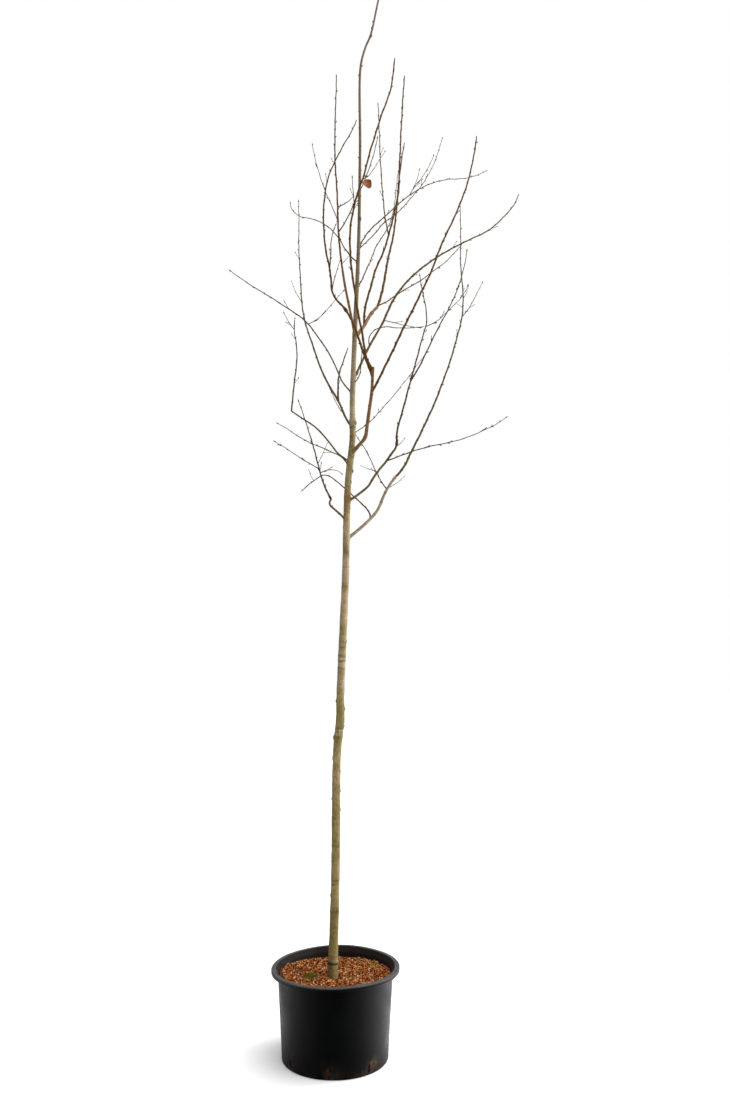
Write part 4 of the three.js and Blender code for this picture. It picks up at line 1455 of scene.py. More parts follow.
# Patches of chips with algae: place and reach across and in depth.
MOSSY_PATCHES = ((0.128, 0.09, 0.022, 0.042), (0.054, -0.005, 0.016, 0.02), (-0.062, -0.033, 0.02, 0.016))
MOSS_PLACE = (-0.088, -0.016)
MOSS_LEAN = 0.75
MOSS_LENGTH = 0.016
MOSS_WIDTH = 0.008
MOSS_TUFTS = 22
MOSS_REACH = (0.003, 0.007)
MOSS_CUSHION = 0.004
MOSS_SEED = 6
BLADES = {
    "Density": 300000.0, "Seed": 21, "Smallest": (0.008, 0.008, 0.004), "Largest": (0.014, 0.014, 0.011),
    "Tilt": 0.6, "Lift": 0.0, "Crumple": 0.003,
}
BLADE_ROWS = 5
BLADE_SIDES = 3
BLADE_HALF = 0.055
BLADE_TAPER = 0.8
BLADE_BEND = 0.3


def mix_height(mix, places):
    """Height of the mix's surface at places round the axis."""
    reach = np.hypot(places[:, 0], places[:, 1])
    dish = MIX_DISH * (reach / MIX_DISH_RADIUS) ** 2 - MIX_SINK
    flat = np.column_stack((places[:, :2], np.zeros(len(places))))
    aside = places[:, 0] / MIX_DISH_RADIUS
    heaped = np.where(aside < 0, MIX_HEAP_LEFT, MIX_HEAP_RIGHT) * aside**2
    height = mix.level + dish + heaped + MIX_RISE_BACK * places[:, 1]
    for size, width, seed in MIX_RIPPLES:
        height = height + size * ripple(flat, width, seed)
    return height


def upward_faces(rows, segments):
    """Faces between rings that widen outwards, seen from above."""
    return [(a, d, c, b) for a, b, c, d in ring_faces(rows, segments)]


def mix_disc(mix, inner, outer, rows, segments):
    """Rings of points on the mix's surface, with the faces between them."""
    angles = ring_angles(segments)
    reach = np.linspace(inner, outer, rows)[:, None]
    x, y = (reach * np.cos(angles)).ravel(), (reach * np.sin(angles)).ravel()
    places = np.stack((x, y, np.zeros(x.size)), axis=1)
    places[:, :2] *= wall_round(np.arctan2(y, x), MIX_SHARE)[:, None]
    places[:, 2] = mix_height(mix, places)
    return places, upward_faces(rows, segments)


def mix_patch(mix, ring, place, reach, cushion=0.0):
    """Patch of the mix's surface round a place, raised to a cushion towards its middle."""
    spot, faces = mix_disc(mix, *ring)
    away = np.hypot(spot[:, 0], spot[:, 1])
    spot[:, :2] = place + spot[:, :2] * reach
    spot[:, 2] = mix_height(mix, spot) + cushion + cushion * np.clip(1 - away**2, 0, 1)
    return spot, faces


def joined(patches):
    """Points and faces of several patches as one mesh's."""
    places, faces = [], []
    count = 0
    for spot, rings in patches:
        places.append(spot)
        faces += [tuple(count + k for k in face) for face in rings]
        count += len(spot)
    return np.concatenate(places), faces


def make_mix(mix, pot):
    """The body of the mix, closed below."""
    slope = (pot.shoulder_radius - pot.foot_radius) / (pot.height - RIM_DEPTH)
    inside = pot.foot_radius - pot.wall - MIX_GAP
    edge = inside + (mix.level - MIX_EDGE_DROP) * slope
    places, _ = mix_disc(mix, MIX_EYE, edge, MIX_ROWS, MIX_SEGMENTS)
    base = [(inside * math.cos(a), inside * math.sin(a), MIX_FLOOR) for a in ring_angles(MIX_SEGMENTS)]
    faces = upward_faces(MIX_ROWS + 1, MIX_SEGMENTS)
    foot = MIX_ROWS * MIX_SEGMENTS
    faces.append(tuple(range(MIX_SEGMENTS)))
    faces.append(tuple(range(foot + MIX_SEGMENTS - 1, foot - 1, -1)))
    mesh = mesh_of("mix_bed", np.concatenate((places, base)), faces, mix_soil())
    piece("mix_bed", mesh, "potting_mix", "potting_mix")


def chip_form():
    """Flat splinter of bark with six uneven corners."""
    corners = len(CHIP_OUTLINE)
    points = [(x, y, -CHIP_HALF) for x, y in CHIP_OUTLINE]
    points += [(x * 0.86 + 0.02, y * 0.8, CHIP_HALF + 0.05 * math.sin(9 * x)) for x, y in CHIP_OUTLINE]
    faces = [tuple(range(corners - 1, -1, -1)), tuple(range(corners, 2 * corners))]
    return placed("chip_form", bare_mesh("chip_form", points, faces=faces + ring_faces(2, corners)))


def chip_bed(mix, name):
    """Faces that the chips of one tone are strewn on."""
    if name != "mossy":
        return mix_disc(mix, *CHIP_RING)
    return joined(mix_patch(mix, PATCH_RING, spot[:2], spot[2:]) for spot in MOSSY_PATCHES)


def make_chips(mix):
    """Bark chips in tones, strewn over the mix."""
    form = chip_form()
    for name, share, lift, seed in CHIP_TONES:
        finish = chip_wood(f"{name}_chip", getattr(mix, f"{name}_chip"))
        bed = mesh_of("chip_bed", *chip_bed(mix, name), finish)
        values = {
            "Form": form, "Density": mix.chips * share, "Seed": seed,
            "Smallest": [mix.chip_length * size for size in CHIP_LEAST],
            "Largest": [mix.chip_length * size for size in CHIP_MOST],
            "Tilt": CHIP_TILT, "Lift": lift, "Crumple": CHIP_CRUMPLE, "Material": finish,
        }
        grown_piece(f"{name}_chips", "potting_mix", bed, loose_scatter(), values)
    bpy.data.objects.remove(form)


def blade_form():
    """Bent blade of moss, one unit long."""
    points = []
    for row in range(BLADE_ROWS):
        share = row / (BLADE_ROWS - 1)
        half = BLADE_HALF * (1 - share) ** BLADE_TAPER
        for a in ring_angles(BLADE_SIDES):
            points.append((half * math.cos(a) + BLADE_BEND * share**2, half * math.sin(a), share))
    last = (BLADE_ROWS - 1) * BLADE_SIDES
    ends = [tuple(range(BLADE_SIDES - 1, -1, -1)), tuple(range(last, last + BLADE_SIDES))]
    faces = ring_faces(BLADE_ROWS, BLADE_SIDES) + ends
    return placed("blade_form", bare_mesh("blade_form", points, faces=faces))


def make_moss(mix):
    """Tuft of moss: bent blades on a low cushion."""
    form = blade_form()
    finish = moss_green(mix)
    draw = np.random.default_rng(MOSS_SEED)
    patches = []
    for _ in range(MOSS_TUFTS):
        along, across = draw.normal(0, (MOSS_LENGTH, MOSS_WIDTH))
        x = MOSS_PLACE[0] + along * math.cos(MOSS_LEAN) - across * math.sin(MOSS_LEAN)
        y = MOSS_PLACE[1] + along * math.sin(MOSS_LEAN) + across * math.cos(MOSS_LEAN)
        patches.append(mix_patch(mix, TUFT_RING, (x, y), draw.uniform(*MOSS_REACH), MOSS_CUSHION))
    bed = mesh_of("moss_bed", *joined(patches), finish)
    values = {"Form": form, "Material": finish, **BLADES}
    grown_piece("moss_tuft", "potting_mix", bed, loose_scatter(), values)
    bpy.data.objects.remove(form)


# Trunk and boughs.

TRUNK_SIDES = 44
TRUNK_STEP = 3.2
TRUNK_SUNK = 16
FLARE_LOBES = 4
FLARE_DEPTH = 0.08
FLARE_HEIGHT = 40
# How the trunk is out of round: share, waves round it, turn for each millimetre up, and start.
TRUNK_LOBES = ((0.028, 2, 0.0061, 0), (0.02, 3, -0.0093, 1))
# How its thickness wavers up its length: share, wave for each millimetre up, and start.
TRUNK_WAVERS = ((0.02, 0.043, 0), (0.014, 0.107, 1))
BARK_SHARP = 60
# Rings stand less proud where the trunk is thinner than this radius, down to this share.
SLENDER_RADIUS = 11
SLENDER_LEAST = 0.35
# More rings and knots, drawn between two heights: their sizes and the steps between them.
MARK_SEED = 5
MORE_RINGS = (330, 4060)
RING_CLEAR = 25
RING_PROUD = (0.2, 0.45)
RING_STEPS = (130, 280)
MORE_KNOTS = (1450, 2900)
KNOT_WIDTH = (3.5, 6)
KNOT_PROUD = (0.9, 2.2)
KNOT_STEPS = (70, 150)
# Knot under a limb: how far it lies down, its least size and its share of the limb's thickness.
LIMB_KNOT_DROP = 3
LIMB_KNOT_WIDTH = (5, 0.55)
LIMB_KNOT_PROUD = (0.8, 0.16)
# A ring's wander and width, and the painted shadow under it: its strongest tone, how far below the ring it
# lies, and how wide.
RING_WANDER = 1.6
RING_WIDTH = 2.6
RING_SHADOW_DARKEST = 0.85
RING_SHADOW = (3.5, 2.2)
# How much taller than wide a knot is, and its rim's width, tone and strongest tone.
KNOT_TALL = 1.15
KNOT_RIM = (1.7, 0.2, 0.6)
# Wander of the pale bands and of the dark line near the foot: how far, width of the waves.
BAND_WANDER = (2.2, 45)
BAND_SHARE = 0.8
FOOT_LINE_WANDER = (1.5, 40)
FOOT_LINE_SEED = 12
BELOW_FOOT_LINE_DARK = 0.3
# The boughs' own rings with the painted shadow under each, their knots, the lean of their joints, and the old
# bark at their foot.
BOUGH_SEED = 100
BOUGH_RING_STEP = 2.6
BOUGH_RING_STEPS = (30, 62)
BOUGH_FIRST_RING = (25, 45)
BOUGH_LAST_RING = 6
BOUGH_RING_PROUD = 0.06
BOUGH_RING_WANDER = 0.7
BOUGH_RING_WIDTH = 2.4
BOUGH_RING_SHADOW = (2.8, 1.7)
BOUGH_RING_SHADOW_TONE = (0.35, 0.8)
BOUGH_KNOT = (2.6, 3.2)
JOINT_LEAN = 0.4
OLD_BARK_START = 1.4
OLD_BARK_REACH = 14
OLD_BARK_SHARE = 0.65


def trunk_marks(limbs, relief):
    """Rings and knots of the trunk: the ones listed, those under the limbs, and a few more."""
    draw = np.random.default_rng(MARK_SEED)
    rings, knots = list(TRUNK_RINGS), list(TRUNK_KNOTS)
    height, highest = MORE_RINGS
    while height < highest:
        if all(abs(height - known) > RING_CLEAR for known, _ in TRUNK_RINGS):
            rings.append((height, draw.uniform(*RING_PROUD)))
        height += draw.uniform(*RING_STEPS)
    height, highest = MORE_KNOTS
    while height < highest:
        knots.append((height, draw.uniform(0, 360), draw.uniform(*KNOT_WIDTH), draw.uniform(*KNOT_PROUD)))
        height += draw.uniform(*KNOT_STEPS)
    for limb in (*BOUGHS.values(), *MASSES.values(), *FINE_TWIGS):
        if limb.on == "trunk":
            x, y, z = slope_heading(math.radians(limb.rises[0][1]), math.radians(limb.out[0]))
            height = limb.at + z * limbs.trunk.at(limb.at)[2] / math.hypot(x, y) - LIMB_KNOT_DROP
            sizes = (LIMB_KNOT_WIDTH, LIMB_KNOT_PROUD)
            width, proud = (least + share * limb.thick[0] for least, share in sizes)
            knots.append((height, math.degrees(math.atan2(y, x)), width, proud))
    return rings, [(height, turn, width, proud * relief) for height, turn, width, proud in knots]


def trunk_tones(tube):
    """Shares of the trunk's bands, stretches and dark line near its foot at points on its bark."""
    z = tube[:, 2]
    tones = {}
    for name, bands in STRETCHES.items():
        shares = [share * bell((z - height) / reach) for height, reach, share in bands]
        tones[name] = np.maximum.reduce(shares) * np.clip(0.75 + 0.5 * ripple(tube, 70, 8), 0, 1)
    band = np.zeros(len(z))
    speckle = np.clip(0.55 + ripple(tube, 14, 9), 0, 1)
    far, wave = BAND_WANDER
    for height, width in PALE_BANDS:
        lean = far * ripple(tube, wave, int(height))
        band = np.maximum(band, bell((z - height + lean) / width) * speckle)
    # A dark line round the trunk near its foot, and the trunk darker below it.
    height, width = FOOT_LINE
    far, wave = FOOT_LINE_WANDER
    line_dark = 1.2 * bell((z - height + far * ripple(tube, wave, FOOT_LINE_SEED)) / width)
    damp = np.maximum(np.minimum(line_dark, 1), BELOW_FOOT_LINE_DARK * np.clip((height - z) / width, 0, 1))
    return {"band": band * BAND_SHARE, "damp": damp, **tones}


def make_trunk(bark, limbs):
    """Trunk with its flare, rings, knots and swelling."""
    line = limbs.trunk
    foot, tip = line.distances[0], line.distances[-1]
    heights = np.linspace(foot - TRUNK_SUNK, tip, int((tip - foot) / TRUNK_STEP))
    points = line.points_at(heights)
    points[:, 2] = heights
    radii = line.radii_at(heights)
    for height, reach, swell in TRUNK_SWELLS:
        radii += swell * bell((heights - height) / reach)
    angles = ring_angles(TRUNK_SIDES)
    flare = FLARE_DEPTH * np.exp(-np.clip(heights - foot, 0, None) / FLARE_HEIGHT)
    shape = 1 + flare[:, None] * np.cos(FLARE_LOBES * angles)
    for share, waves, turn, start in TRUNK_LOBES:
        shape += share * np.sin(waves * angles + (heights * turn)[:, None] + start)
    shape += sum(share * np.sin(heights * wave + start) for share, wave, start in TRUNK_WAVERS)[:, None]
    skin = radii[:, None] * shape
    shadow_and_rim_tone = np.zeros_like(skin)
    rings, knots = trunk_marks(limbs, bark.relief)
    slender = np.clip(radii / SLENDER_RADIUS, SLENDER_LEAST, 1)
    below, line_width = RING_SHADOW
    for height, proud in rings:
        wander = np.sin(2 * angles + height) + 0.6 * np.sin(3 * angles + 2 * height)
        gap = heights[:, None] - height - RING_WANDER * wander[None]
        skin += bell(gap / RING_WIDTH) * (proud * bark.relief * slender)[:, None]
        # Painted shadow: a dark line under each ring, darker the prouder the ring stands.
        dark = bell((gap + below) / line_width) * min(proud * 1.05, RING_SHADOW_DARKEST)
        shadow_and_rim_tone = np.maximum(shadow_and_rim_tone, dark)
    bearing = np.arctan2(np.cos(angles), -np.sin(angles))
    rim_width, rim_tone, rim_darkest = KNOT_RIM
    for height, turn, width, proud in knots:
        apart = angle_from(math.radians(turn), bearing)[None] * radii[:, None]
        gap = heights[:, None] - height
        skin += bell(apart / width, gap / (width * KNOT_TALL)) * proud
        rim = bell((np.hypot(apart, gap / KNOT_TALL) - width) / rim_width)
        shadow_and_rim_tone = np.maximum(shadow_and_rim_tone, np.clip(rim * proud * rim_tone, 0, rim_darkest))
    tube, faces = swept(points, skin)
    mesh = mesh_of("trunk", tube * MM, faces, trunk_bark(bark))
    mesh.set_sharp_from_angle(angle=math.radians(BARK_SHARP))
    # The ring attribute holds the painted shadow under the rings and the knot rims.
    marked(mesh, ring=np.concatenate((shadow_and_rim_tone.ravel(), (0, 0))), **trunk_tones(tube))
    piece("trunk_bark", mesh, "trunk_bark", "trunk")


def bough_skin(bark, places, radii, number):
    """Radii round a bough with its rings and knots, and the tone of the painted shadow under the rings."""
    draw = np.random.default_rng(BOUGH_SEED + number)
    angles = ring_angles(BOUGH_SIDES)
    skin = np.repeat(radii[:, None], BOUGH_SIDES, axis=1)
    skin *= 1 + 0.035 * np.sin(2 * angles + (places * 0.021)[:, None])
    skin *= (1 + 0.03 * np.sin(places * 0.09 + number))[:, None]
    shadow_and_rim_tone = np.zeros_like(skin)
    place = draw.uniform(*BOUGH_FIRST_RING)
    turn = draw.uniform(0, 360)
    below, line_width = BOUGH_RING_SHADOW
    knot_width, knot_tall = BOUGH_KNOT
    while place < places[-1] - BOUGH_LAST_RING:
        gap = places[:, None] - place - BOUGH_RING_WANDER * np.sin(angles + place)
        skin += bell(gap / BOUGH_RING_WIDTH) * BOUGH_RING_PROUD * radii[:, None] * bark.relief
        # Painted shadow: a dark line under each ring.
        dark = bell((gap + below) / line_width) * draw.uniform(*BOUGH_RING_SHADOW_TONE)
        shadow_and_rim_tone = np.maximum(shadow_and_rim_tone, dark)
        apart = angle_from(math.radians(turn), angles)[None] * radii[:, None]
        lump = bell(apart / knot_width, gap / knot_tall)
        skin += lump * draw.uniform(*KNOT_PROUD) * bark.relief
        place += draw.uniform(*BOUGH_RING_STEPS)
        turn += TWIG_TURN
    return skin, shadow_and_rim_tone


def make_boughs(bark, limbs):
    """Each bough as a round limb with its collar, rings, knots and joints."""
    finishes = {
        kind: bough_bark(f"{kind}_bough_bark", getattr(bark, kind), bark)
        for kind in ("red", "tan", "grey", "brown")
    }
    angles = ring_angles(BOUGH_SIDES)

    def all_round(values):
        return np.concatenate((np.repeat(values, BOUGH_SIDES), values[[0, -1]]))

    for number, (name, line) in enumerate(limbs.boughs.items()):
        places = np.linspace(0, line.distances[-1], int(line.distances[-1] / BOUGH_RING_STEP))
        radii = line.radii_at(places) * BARK_SHARE.get(name, 1)
        skin, shadow_and_rim_tone = bough_skin(bark, places, radii, number)
        raw = np.zeros(len(places))
        for place, reach, proud, share in JOINTS.get(name, ()):
            lump = bell((places - place) / reach)
            skin += (lump * proud * bark.relief)[:, None] * (1 + JOINT_LEAN * np.cos(angles - place))
            raw = np.maximum(raw, lump * share)
        tube, faces = swept(line.points_at(places), skin)
        mesh = mesh_of(name, tube * MM, faces, finishes[BOUGH_COLOURS[name]])
        mesh.set_sharp_from_angle(angle=math.radians(BARK_SHARP))
        old = limbs.trunk.at(BOUGHS[name].at)[2] * OLD_BARK_START
        age = np.exp(-np.clip(places - old, 0, None) / OLD_BARK_REACH) * OLD_BARK_SHARE
        # Painted shadow under the rings, for the ring attribute.
        tone = np.concatenate((shadow_and_rim_tone.ravel(), (0, 0)))
        marked(mesh, age=all_round(age), ring=tone, joint=all_round(raw))
        piece(f"{name}_bark", mesh, "bough_bark", name)


# Shoots, twigs, buds and leaf.

SEEDS_PER_MASS = 10
FINE_SEED = 900
FINE_SPACING = 30
FINE_TONE = 0.92
# Height above which the trunk bears buds.
LEADER_FROM = 2700
# Seed, first bud, spacing and share of a bud's usual length, on side twigs and on the leader.
TWIG_BUDS = (2000, 16, 18, 0.75)
LEADER_BUDS = (77, 30, 46, 1)
FINE_BUD = 0.7
BUD_SEED = 31
BUD_LEAN = (0.35, 0.6)
BUD_SIZES = (0.75, 1.2)
TIP_BUD_LEAN = 0.02
TIP_BUD_SIZES = (1.35, 1.7)
TIP_BUD_BACK = 1.5
# Share of the shoot's radius at which a bud of this lean has its foot.
BUD_FOOT = 0.82
BUD_FOOT_LEAN = 0.45
# Rows of a bud one unit long: height and radius. Then the heights of its two ends.
BUD_ROWS = ((0, 0.11), (0.12, 0.15), (0.34, 0.175), (0.6, 0.125), (0.84, 0.05))
BUD_ENDS = (-0.05, 1.0)
BUD_SIDES = 6
LEAF_BEARER = "front_middle_twigs"
LEAF_AT = 698
LEAF_LENGTH = 46
LEAF_WIDTH = 40
LEAF_STALK = 6
LEAF_AHEAD = (0.58, -0.3, -0.7)
LEAF_UP = (0.05, -0.9, 0.4)
LEAF_ROWS = 16
LEAF_COLUMNS = 11
# Share of the outline's curve that each end leaves off, then curl, crumple, bend, twist and fold.
LEAF_ENDS = 0.03
LEAF_CURL = 0.2
LEAF_CRUMPLE = 1.8
LEAF_RISE = 5
LEAF_SAG = 6
LEAF_TWIST = 0.5
LEAF_FOLD = 0.6
LEAF_WALL = 0.0005
STALK_STEPS = 8
STALK_SIDES = 8
STALK_RADIUS = 0.5
STALK_INTO_LEAF = 2
STALK_ARCH = 1.6


def edge_lines(name, lines):
    """Mesh of edges along lines, with the thickness that the sweep reads."""
    points, edges, thick = [], [], []
    count = 0
    for line in lines:
        points.append(line.points * MM)
        thick.append(line.radii * MM)
        edges += [(count + k, count + k + 1) for k in range(len(line.points) - 1)]
        count += len(line.points)
    return marked(bare_mesh(name, np.concatenate(points), edges), thickness=np.concatenate(thick))


def mass_lines(limbs, name):
    """Stem and shoots of a mass, each after its own seed."""
    first = list(MASSES).index(name) * SEEDS_PER_MASS
    return list(enumerate((limbs.stems[name], *limbs.shoots[name]), first))


def fine_lines(limbs):
    """Living lines of the fine twigs, each after its own seed."""
    return [(seed, living_line(line, seed, FINE_SPACING)) for seed, line in enumerate(limbs.fine, FINE_SEED)]


def make_shoots(settings, limbs):
    """Stems and long shoots of the twig masses, dealt into three colours."""
    spacing = settings.bud_spacing / MM
    for kind, masses in SHOOT_COLOURS.items():
        lines = []
        for name in masses:
            (seed, stem), *shoots = mass_lines(limbs, name)
            share = BARK_SHARE.get(name, 1.0)
            lines.append(living_line(stem, seed, spacing, KNUCKLES.get(name, ()), share))
            lines += [living_line(line, seed, spacing) for seed, line in shoots]
        finish = shoot_bark(f"{kind}_shoot_bark", getattr(settings, kind))
        source = edge_lines(f"{kind}_lines", map(tipped, lines))
        values = {"Sides": STEM_SIDES, "Material": finish}
        grown_piece(f"{kind}_shoots", "twigs", source, limb_sweep(), values, *masses)


def make_twigs(settings, limbs):
    """Fine twigs, seeded side twigs and spurs."""
    fine = [tipped(line) for _, line in fine_lines(limbs)]
    finish = shoot_bark("fine_twig_bark", [c * FINE_TONE for c in settings.brown])
    values = {"Sides": TWIG_SIDES, "Material": finish}
    for name, lines in (("fine_twigs", fine), ("side_twigs", limbs.twigs), ("spurs", limbs.spurs)):
        grown_piece(name, "twigs", edge_lines(f"{name}_lines", lines), limb_sweep(), values)


def bud_form():
    """Pointed bud with a narrow foot, one unit long."""
    points = []
    for k, (height, radius) in enumerate(BUD_ROWS):
        for j in range(BUD_SIDES):
            a = 2 * math.pi * (j + 0.5 * (k % 2)) / BUD_SIDES
            points.append((radius * math.cos(a), radius * math.sin(a), height))
    points += [(0, 0, end) for end in BUD_ENDS]
    faces = closed_faces(len(BUD_ROWS), BUD_SIDES)
    return placed("bud_form", bare_mesh("bud_form", points, faces=faces))


def make_buds(settings, limbs):
    """Side buds on every shoot and one at each tip."""
    spacing, usual = settings.bud_spacing / MM, settings.bud_length
    places, headings, sizes = [], [], []
    draw = np.random.default_rng(BUD_SEED)

    def set_bud(line, place, turn, lean, size):
        point, along, radius = line.at(place)
        side = -turned_side(along, turn)
        out = radius * BUD_FOOT * math.sin(lean) / math.sin(BUD_FOOT_LEAN)
        places.append((point + side * out) * MM)
        headings.append(along * math.cos(lean) + side * math.sin(lean))
        sizes.append(size)

    def dress(line, seed, first, gap, size):
        for place, turn in bud_places(line, gap, first, seed):
            set_bud(line, place, turn, draw.uniform(*BUD_LEAN), size * draw.uniform(*BUD_SIZES))
        tip = line.distances[-1] - TIP_BUD_BACK
        set_bud(line, tip, 0.0, TIP_BUD_LEAN, size * draw.uniform(*TIP_BUD_SIZES))

    for name in MASSES:
        for seed, line in mass_lines(limbs, name):
            dress(living_line(line, seed, spacing), seed, spacing, spacing, usual)
    for seed, line in fine_lines(limbs):
        dress(line, seed, FINE_SPACING, FINE_SPACING, usual * FINE_BUD)
    first_seed, first, gap, share = TWIG_BUDS
    for seed, line in enumerate((*limbs.twigs, *limbs.spurs), first_seed):
        dress(line, seed, first, gap, usual * share)
    trunk = limbs.trunk
    young = trunk.distances > LEADER_FROM
    leader = Line(trunk.points[young], trunk.radii[young], trunk.distances[young] - LEADER_FROM)
    seed, first, gap, share = LEADER_BUDS
    dress(leader, seed, first, gap, usual * share)
    source = marked(bare_mesh("bud_points", places), size=sizes, heading=headings)
    form = bud_form()
    values = {"Bud": form, "Material": shoot_bark("bud_scales", settings.bud)}
    grown_piece("buds", "twigs", source, bud_spread(), values)
    bpy.data.objects.remove(form)


def leaf_blade(foot, ahead, side, up):
    """Points of the curled and twisted leaf, and the place of each along and across it."""
    points, places = [], []
    for i in range(LEAF_ROWS):
        u = i / (LEAF_ROWS - 1)
        half = LEAF_WIDTH / 2 * math.sqrt(math.sin(math.pi * (LEAF_ENDS + (1 - 2 * LEAF_ENDS) * u)))
        bend = LEAF_RISE * u - LEAF_SAG * u * u
        sine, cosine = math.sin(LEAF_TWIST * u), math.cos(LEAF_TWIST * u)
        for j in range(LEAF_COLUMNS):
            v = 2 * j / (LEAF_COLUMNS - 1) - 1
            curl = LEAF_CURL * LEAF_WIDTH * v * v + LEAF_CRUMPLE * math.sin(7 * u + 3 * v)
            across = v * half * math.cos(LEAF_FOLD * v)
            p = ahead * (LEAF_STALK + LEAF_LENGTH * u)
            p = p + side * (across * cosine - curl * sine)
            p = p + up * (bend + curl * cosine * half / (LEAF_WIDTH / 2) + across * sine)
            points.append(foot + p)
            places.append((u, v, 0))
    return np.array(points), places


def make_leaf(settings, limbs):
    """The one leaf that hangs on, curled and twisted, with its stalk."""
    seed, stem = mass_lines(limbs, LEAF_BEARER)[0]
    foot = living_line(stem, seed, settings.bud_spacing / MM).points_at(LEAF_AT)
    ahead = unit(np.array(LEAF_AHEAD))
    side = unit(np.cross(LEAF_UP, ahead))
    up = np.cross(ahead, side)
    points, places = leaf_blade(foot, ahead, side, up)
    faces = []
    for i in range(LEAF_ROWS - 1):
        for a in range(i * LEAF_COLUMNS, (i + 1) * LEAF_COLUMNS - 1):
            faces.append((a, a + 1, a + LEAF_COLUMNS + 1, a + LEAF_COLUMNS))
    finish = leaf_skin(settings.leaf)
    mesh = marked(mesh_of("withered_leaf", points * MM, faces, finish), leaf_place=places)
    blade = placed("leaf_blade", mesh)
    wall = blade.modifiers.new("wall", "SOLIDIFY")
    wall.thickness = LEAF_WALL
    wall.offset = 0
    smooth = blade.modifiers.new("smooth", "SUBSURF")
    smooth.levels = smooth.render_levels = 1
    piece("withered_leaf", finished_mesh(blade, "withered_leaf"), "twigs")
    shares = np.linspace(0, 1, STALK_STEPS)[:, None]
    stalk = foot + ahead * shares * (LEAF_STALK + STALK_INTO_LEAF)
    stalk = stalk + up * (STALK_ARCH * np.sin(shares * math.pi))
    tube, faces = swept(stalk, np.full((STALK_STEPS, STALK_SIDES), STALK_RADIUS))
    piece("leaf_stalk", mesh_of("leaf_stalk", tube * MM, faces, finish), "twigs")


# Stage.

CAMERA_PLACE = (0.1015, -3.184, 1.280)
CAMERA_PITCH = 8.375
SENSOR_WIDTH = 36
SIGHT_REACH = 200
FLOOR_REACH = 60
FLOOR_DROP = 0.0004
WHITE = (1, 1, 1)
BLACK = (0, 0, 0)
KEY_SOFTNESS = 50
KEY_PLACE = (1.3, -0.9, 5.0)
# Area lamps: width, height, place and aim.
FILL_LAMP = (1.4, 3.4, (3.0, 0.9, 1.8), (0, 0, 1.2))
SHEEN_LAMP = (2.4, 1.2, (-2.6, -0.3, 0.5), (0, 0, 0.2))


def lamp_at(lamp, place, aim):
    """Object for a lamp, turned towards a point and hidden from the camera."""
    made = placed(lamp.name, lamp)
    made.location = place
    made.rotation_euler = (Vector(aim) - Vector(place)).to_track_quat("-Z", "Y").to_euler()
    made.visible_camera = False
    return made


def area_lamp(name, power, width, height, place, aim):
    """Soft rectangular lamp."""
    lamp = bpy.data.lights.new(name, "AREA")
    lamp.shape = "RECTANGLE"
    lamp.size, lamp.size_y = width, height
    lamp.energy = power
    return lamp_at(lamp, place, aim)


def make_sky(stage):
    """Even light all round, stronger from the right, and plain white behind the tree."""
    world = bpy.data.worlds.new("even_sky")
    world.use_nodes = True
    sky = world.node_tree
    sky.nodes.clear()
    way = parts_of(sky, add(sky, "ShaderNodeTexCoord").outputs["Generated"])
    rays = add(sky, "ShaderNodeLightPath").outputs
    front = spread(sky, rays["Is Glossy Ray"], 0, 1, stage.sky_front, stage.sky_front * 0.25)
    level = spread(sky, way["X"], -0.8, 0.8, stage.sky_left, stage.sky_right)
    level = times(sky, level, spread(sky, way["Y"], -0.9, 0.3, front, 1.0))
    level = times(sky, level, spread(sky, way["Z"], 0.35, 0.95, 1.0, 1.7))
    lit, seen = (
        result(sky, "ShaderNodeBackground", {"Color": (*WHITE, 1), "Strength": strength})
        for strength in (level, 1.0)
    )
    both = result(sky, "ShaderNodeMixShader", {0: rays["Is Camera Ray"], 1: lit, 2: seen})
    add(sky, "ShaderNodeOutputWorld", {"Surface": both})
    bpy.context.scene.world = world


def floor_paint(stage):
    """White floor whose mirror image is dim at the front, as a dark backdrop there would make it."""
    made, tree, shader = material("floor_paint", roughness=0.6, gloss=0.1)
    way = parts_of(tree, vector_math(tree, "NORMALIZE", object_place(tree)))
    level = spread(tree, way["Y"], -0.98, 0.2, 0.03, 1.0)
    level = times(tree, level, spread(tree, way["X"], -0.9, 0.9, 0.6, 1.0))
    rays = add(tree, "ShaderNodeLightPath").outputs
    colour = layered(
        tree, stage.floor,
        (rays["Is Glossy Ray"], blended(tree, level, BLACK, stage.floor)),
        (rays["Is Diffuse Ray"], [c * stage.bounce for c in stage.floor]),
    )
    tree.links.new(colour, shader["Base Color"])
    tree.links.new(blended(tree, rays["Is Glossy Ray"], WHITE, BLACK), shader["Emission Color"])
    shader["Emission Strength"].default_value = stage.glow
    grain = grouped(tree, loose_grain(), Scale=20.0)
    tree.links.new(spread(tree, grain["Stain"], 0, 1, 0.55, 0.7), shader["Roughness"])
    return made


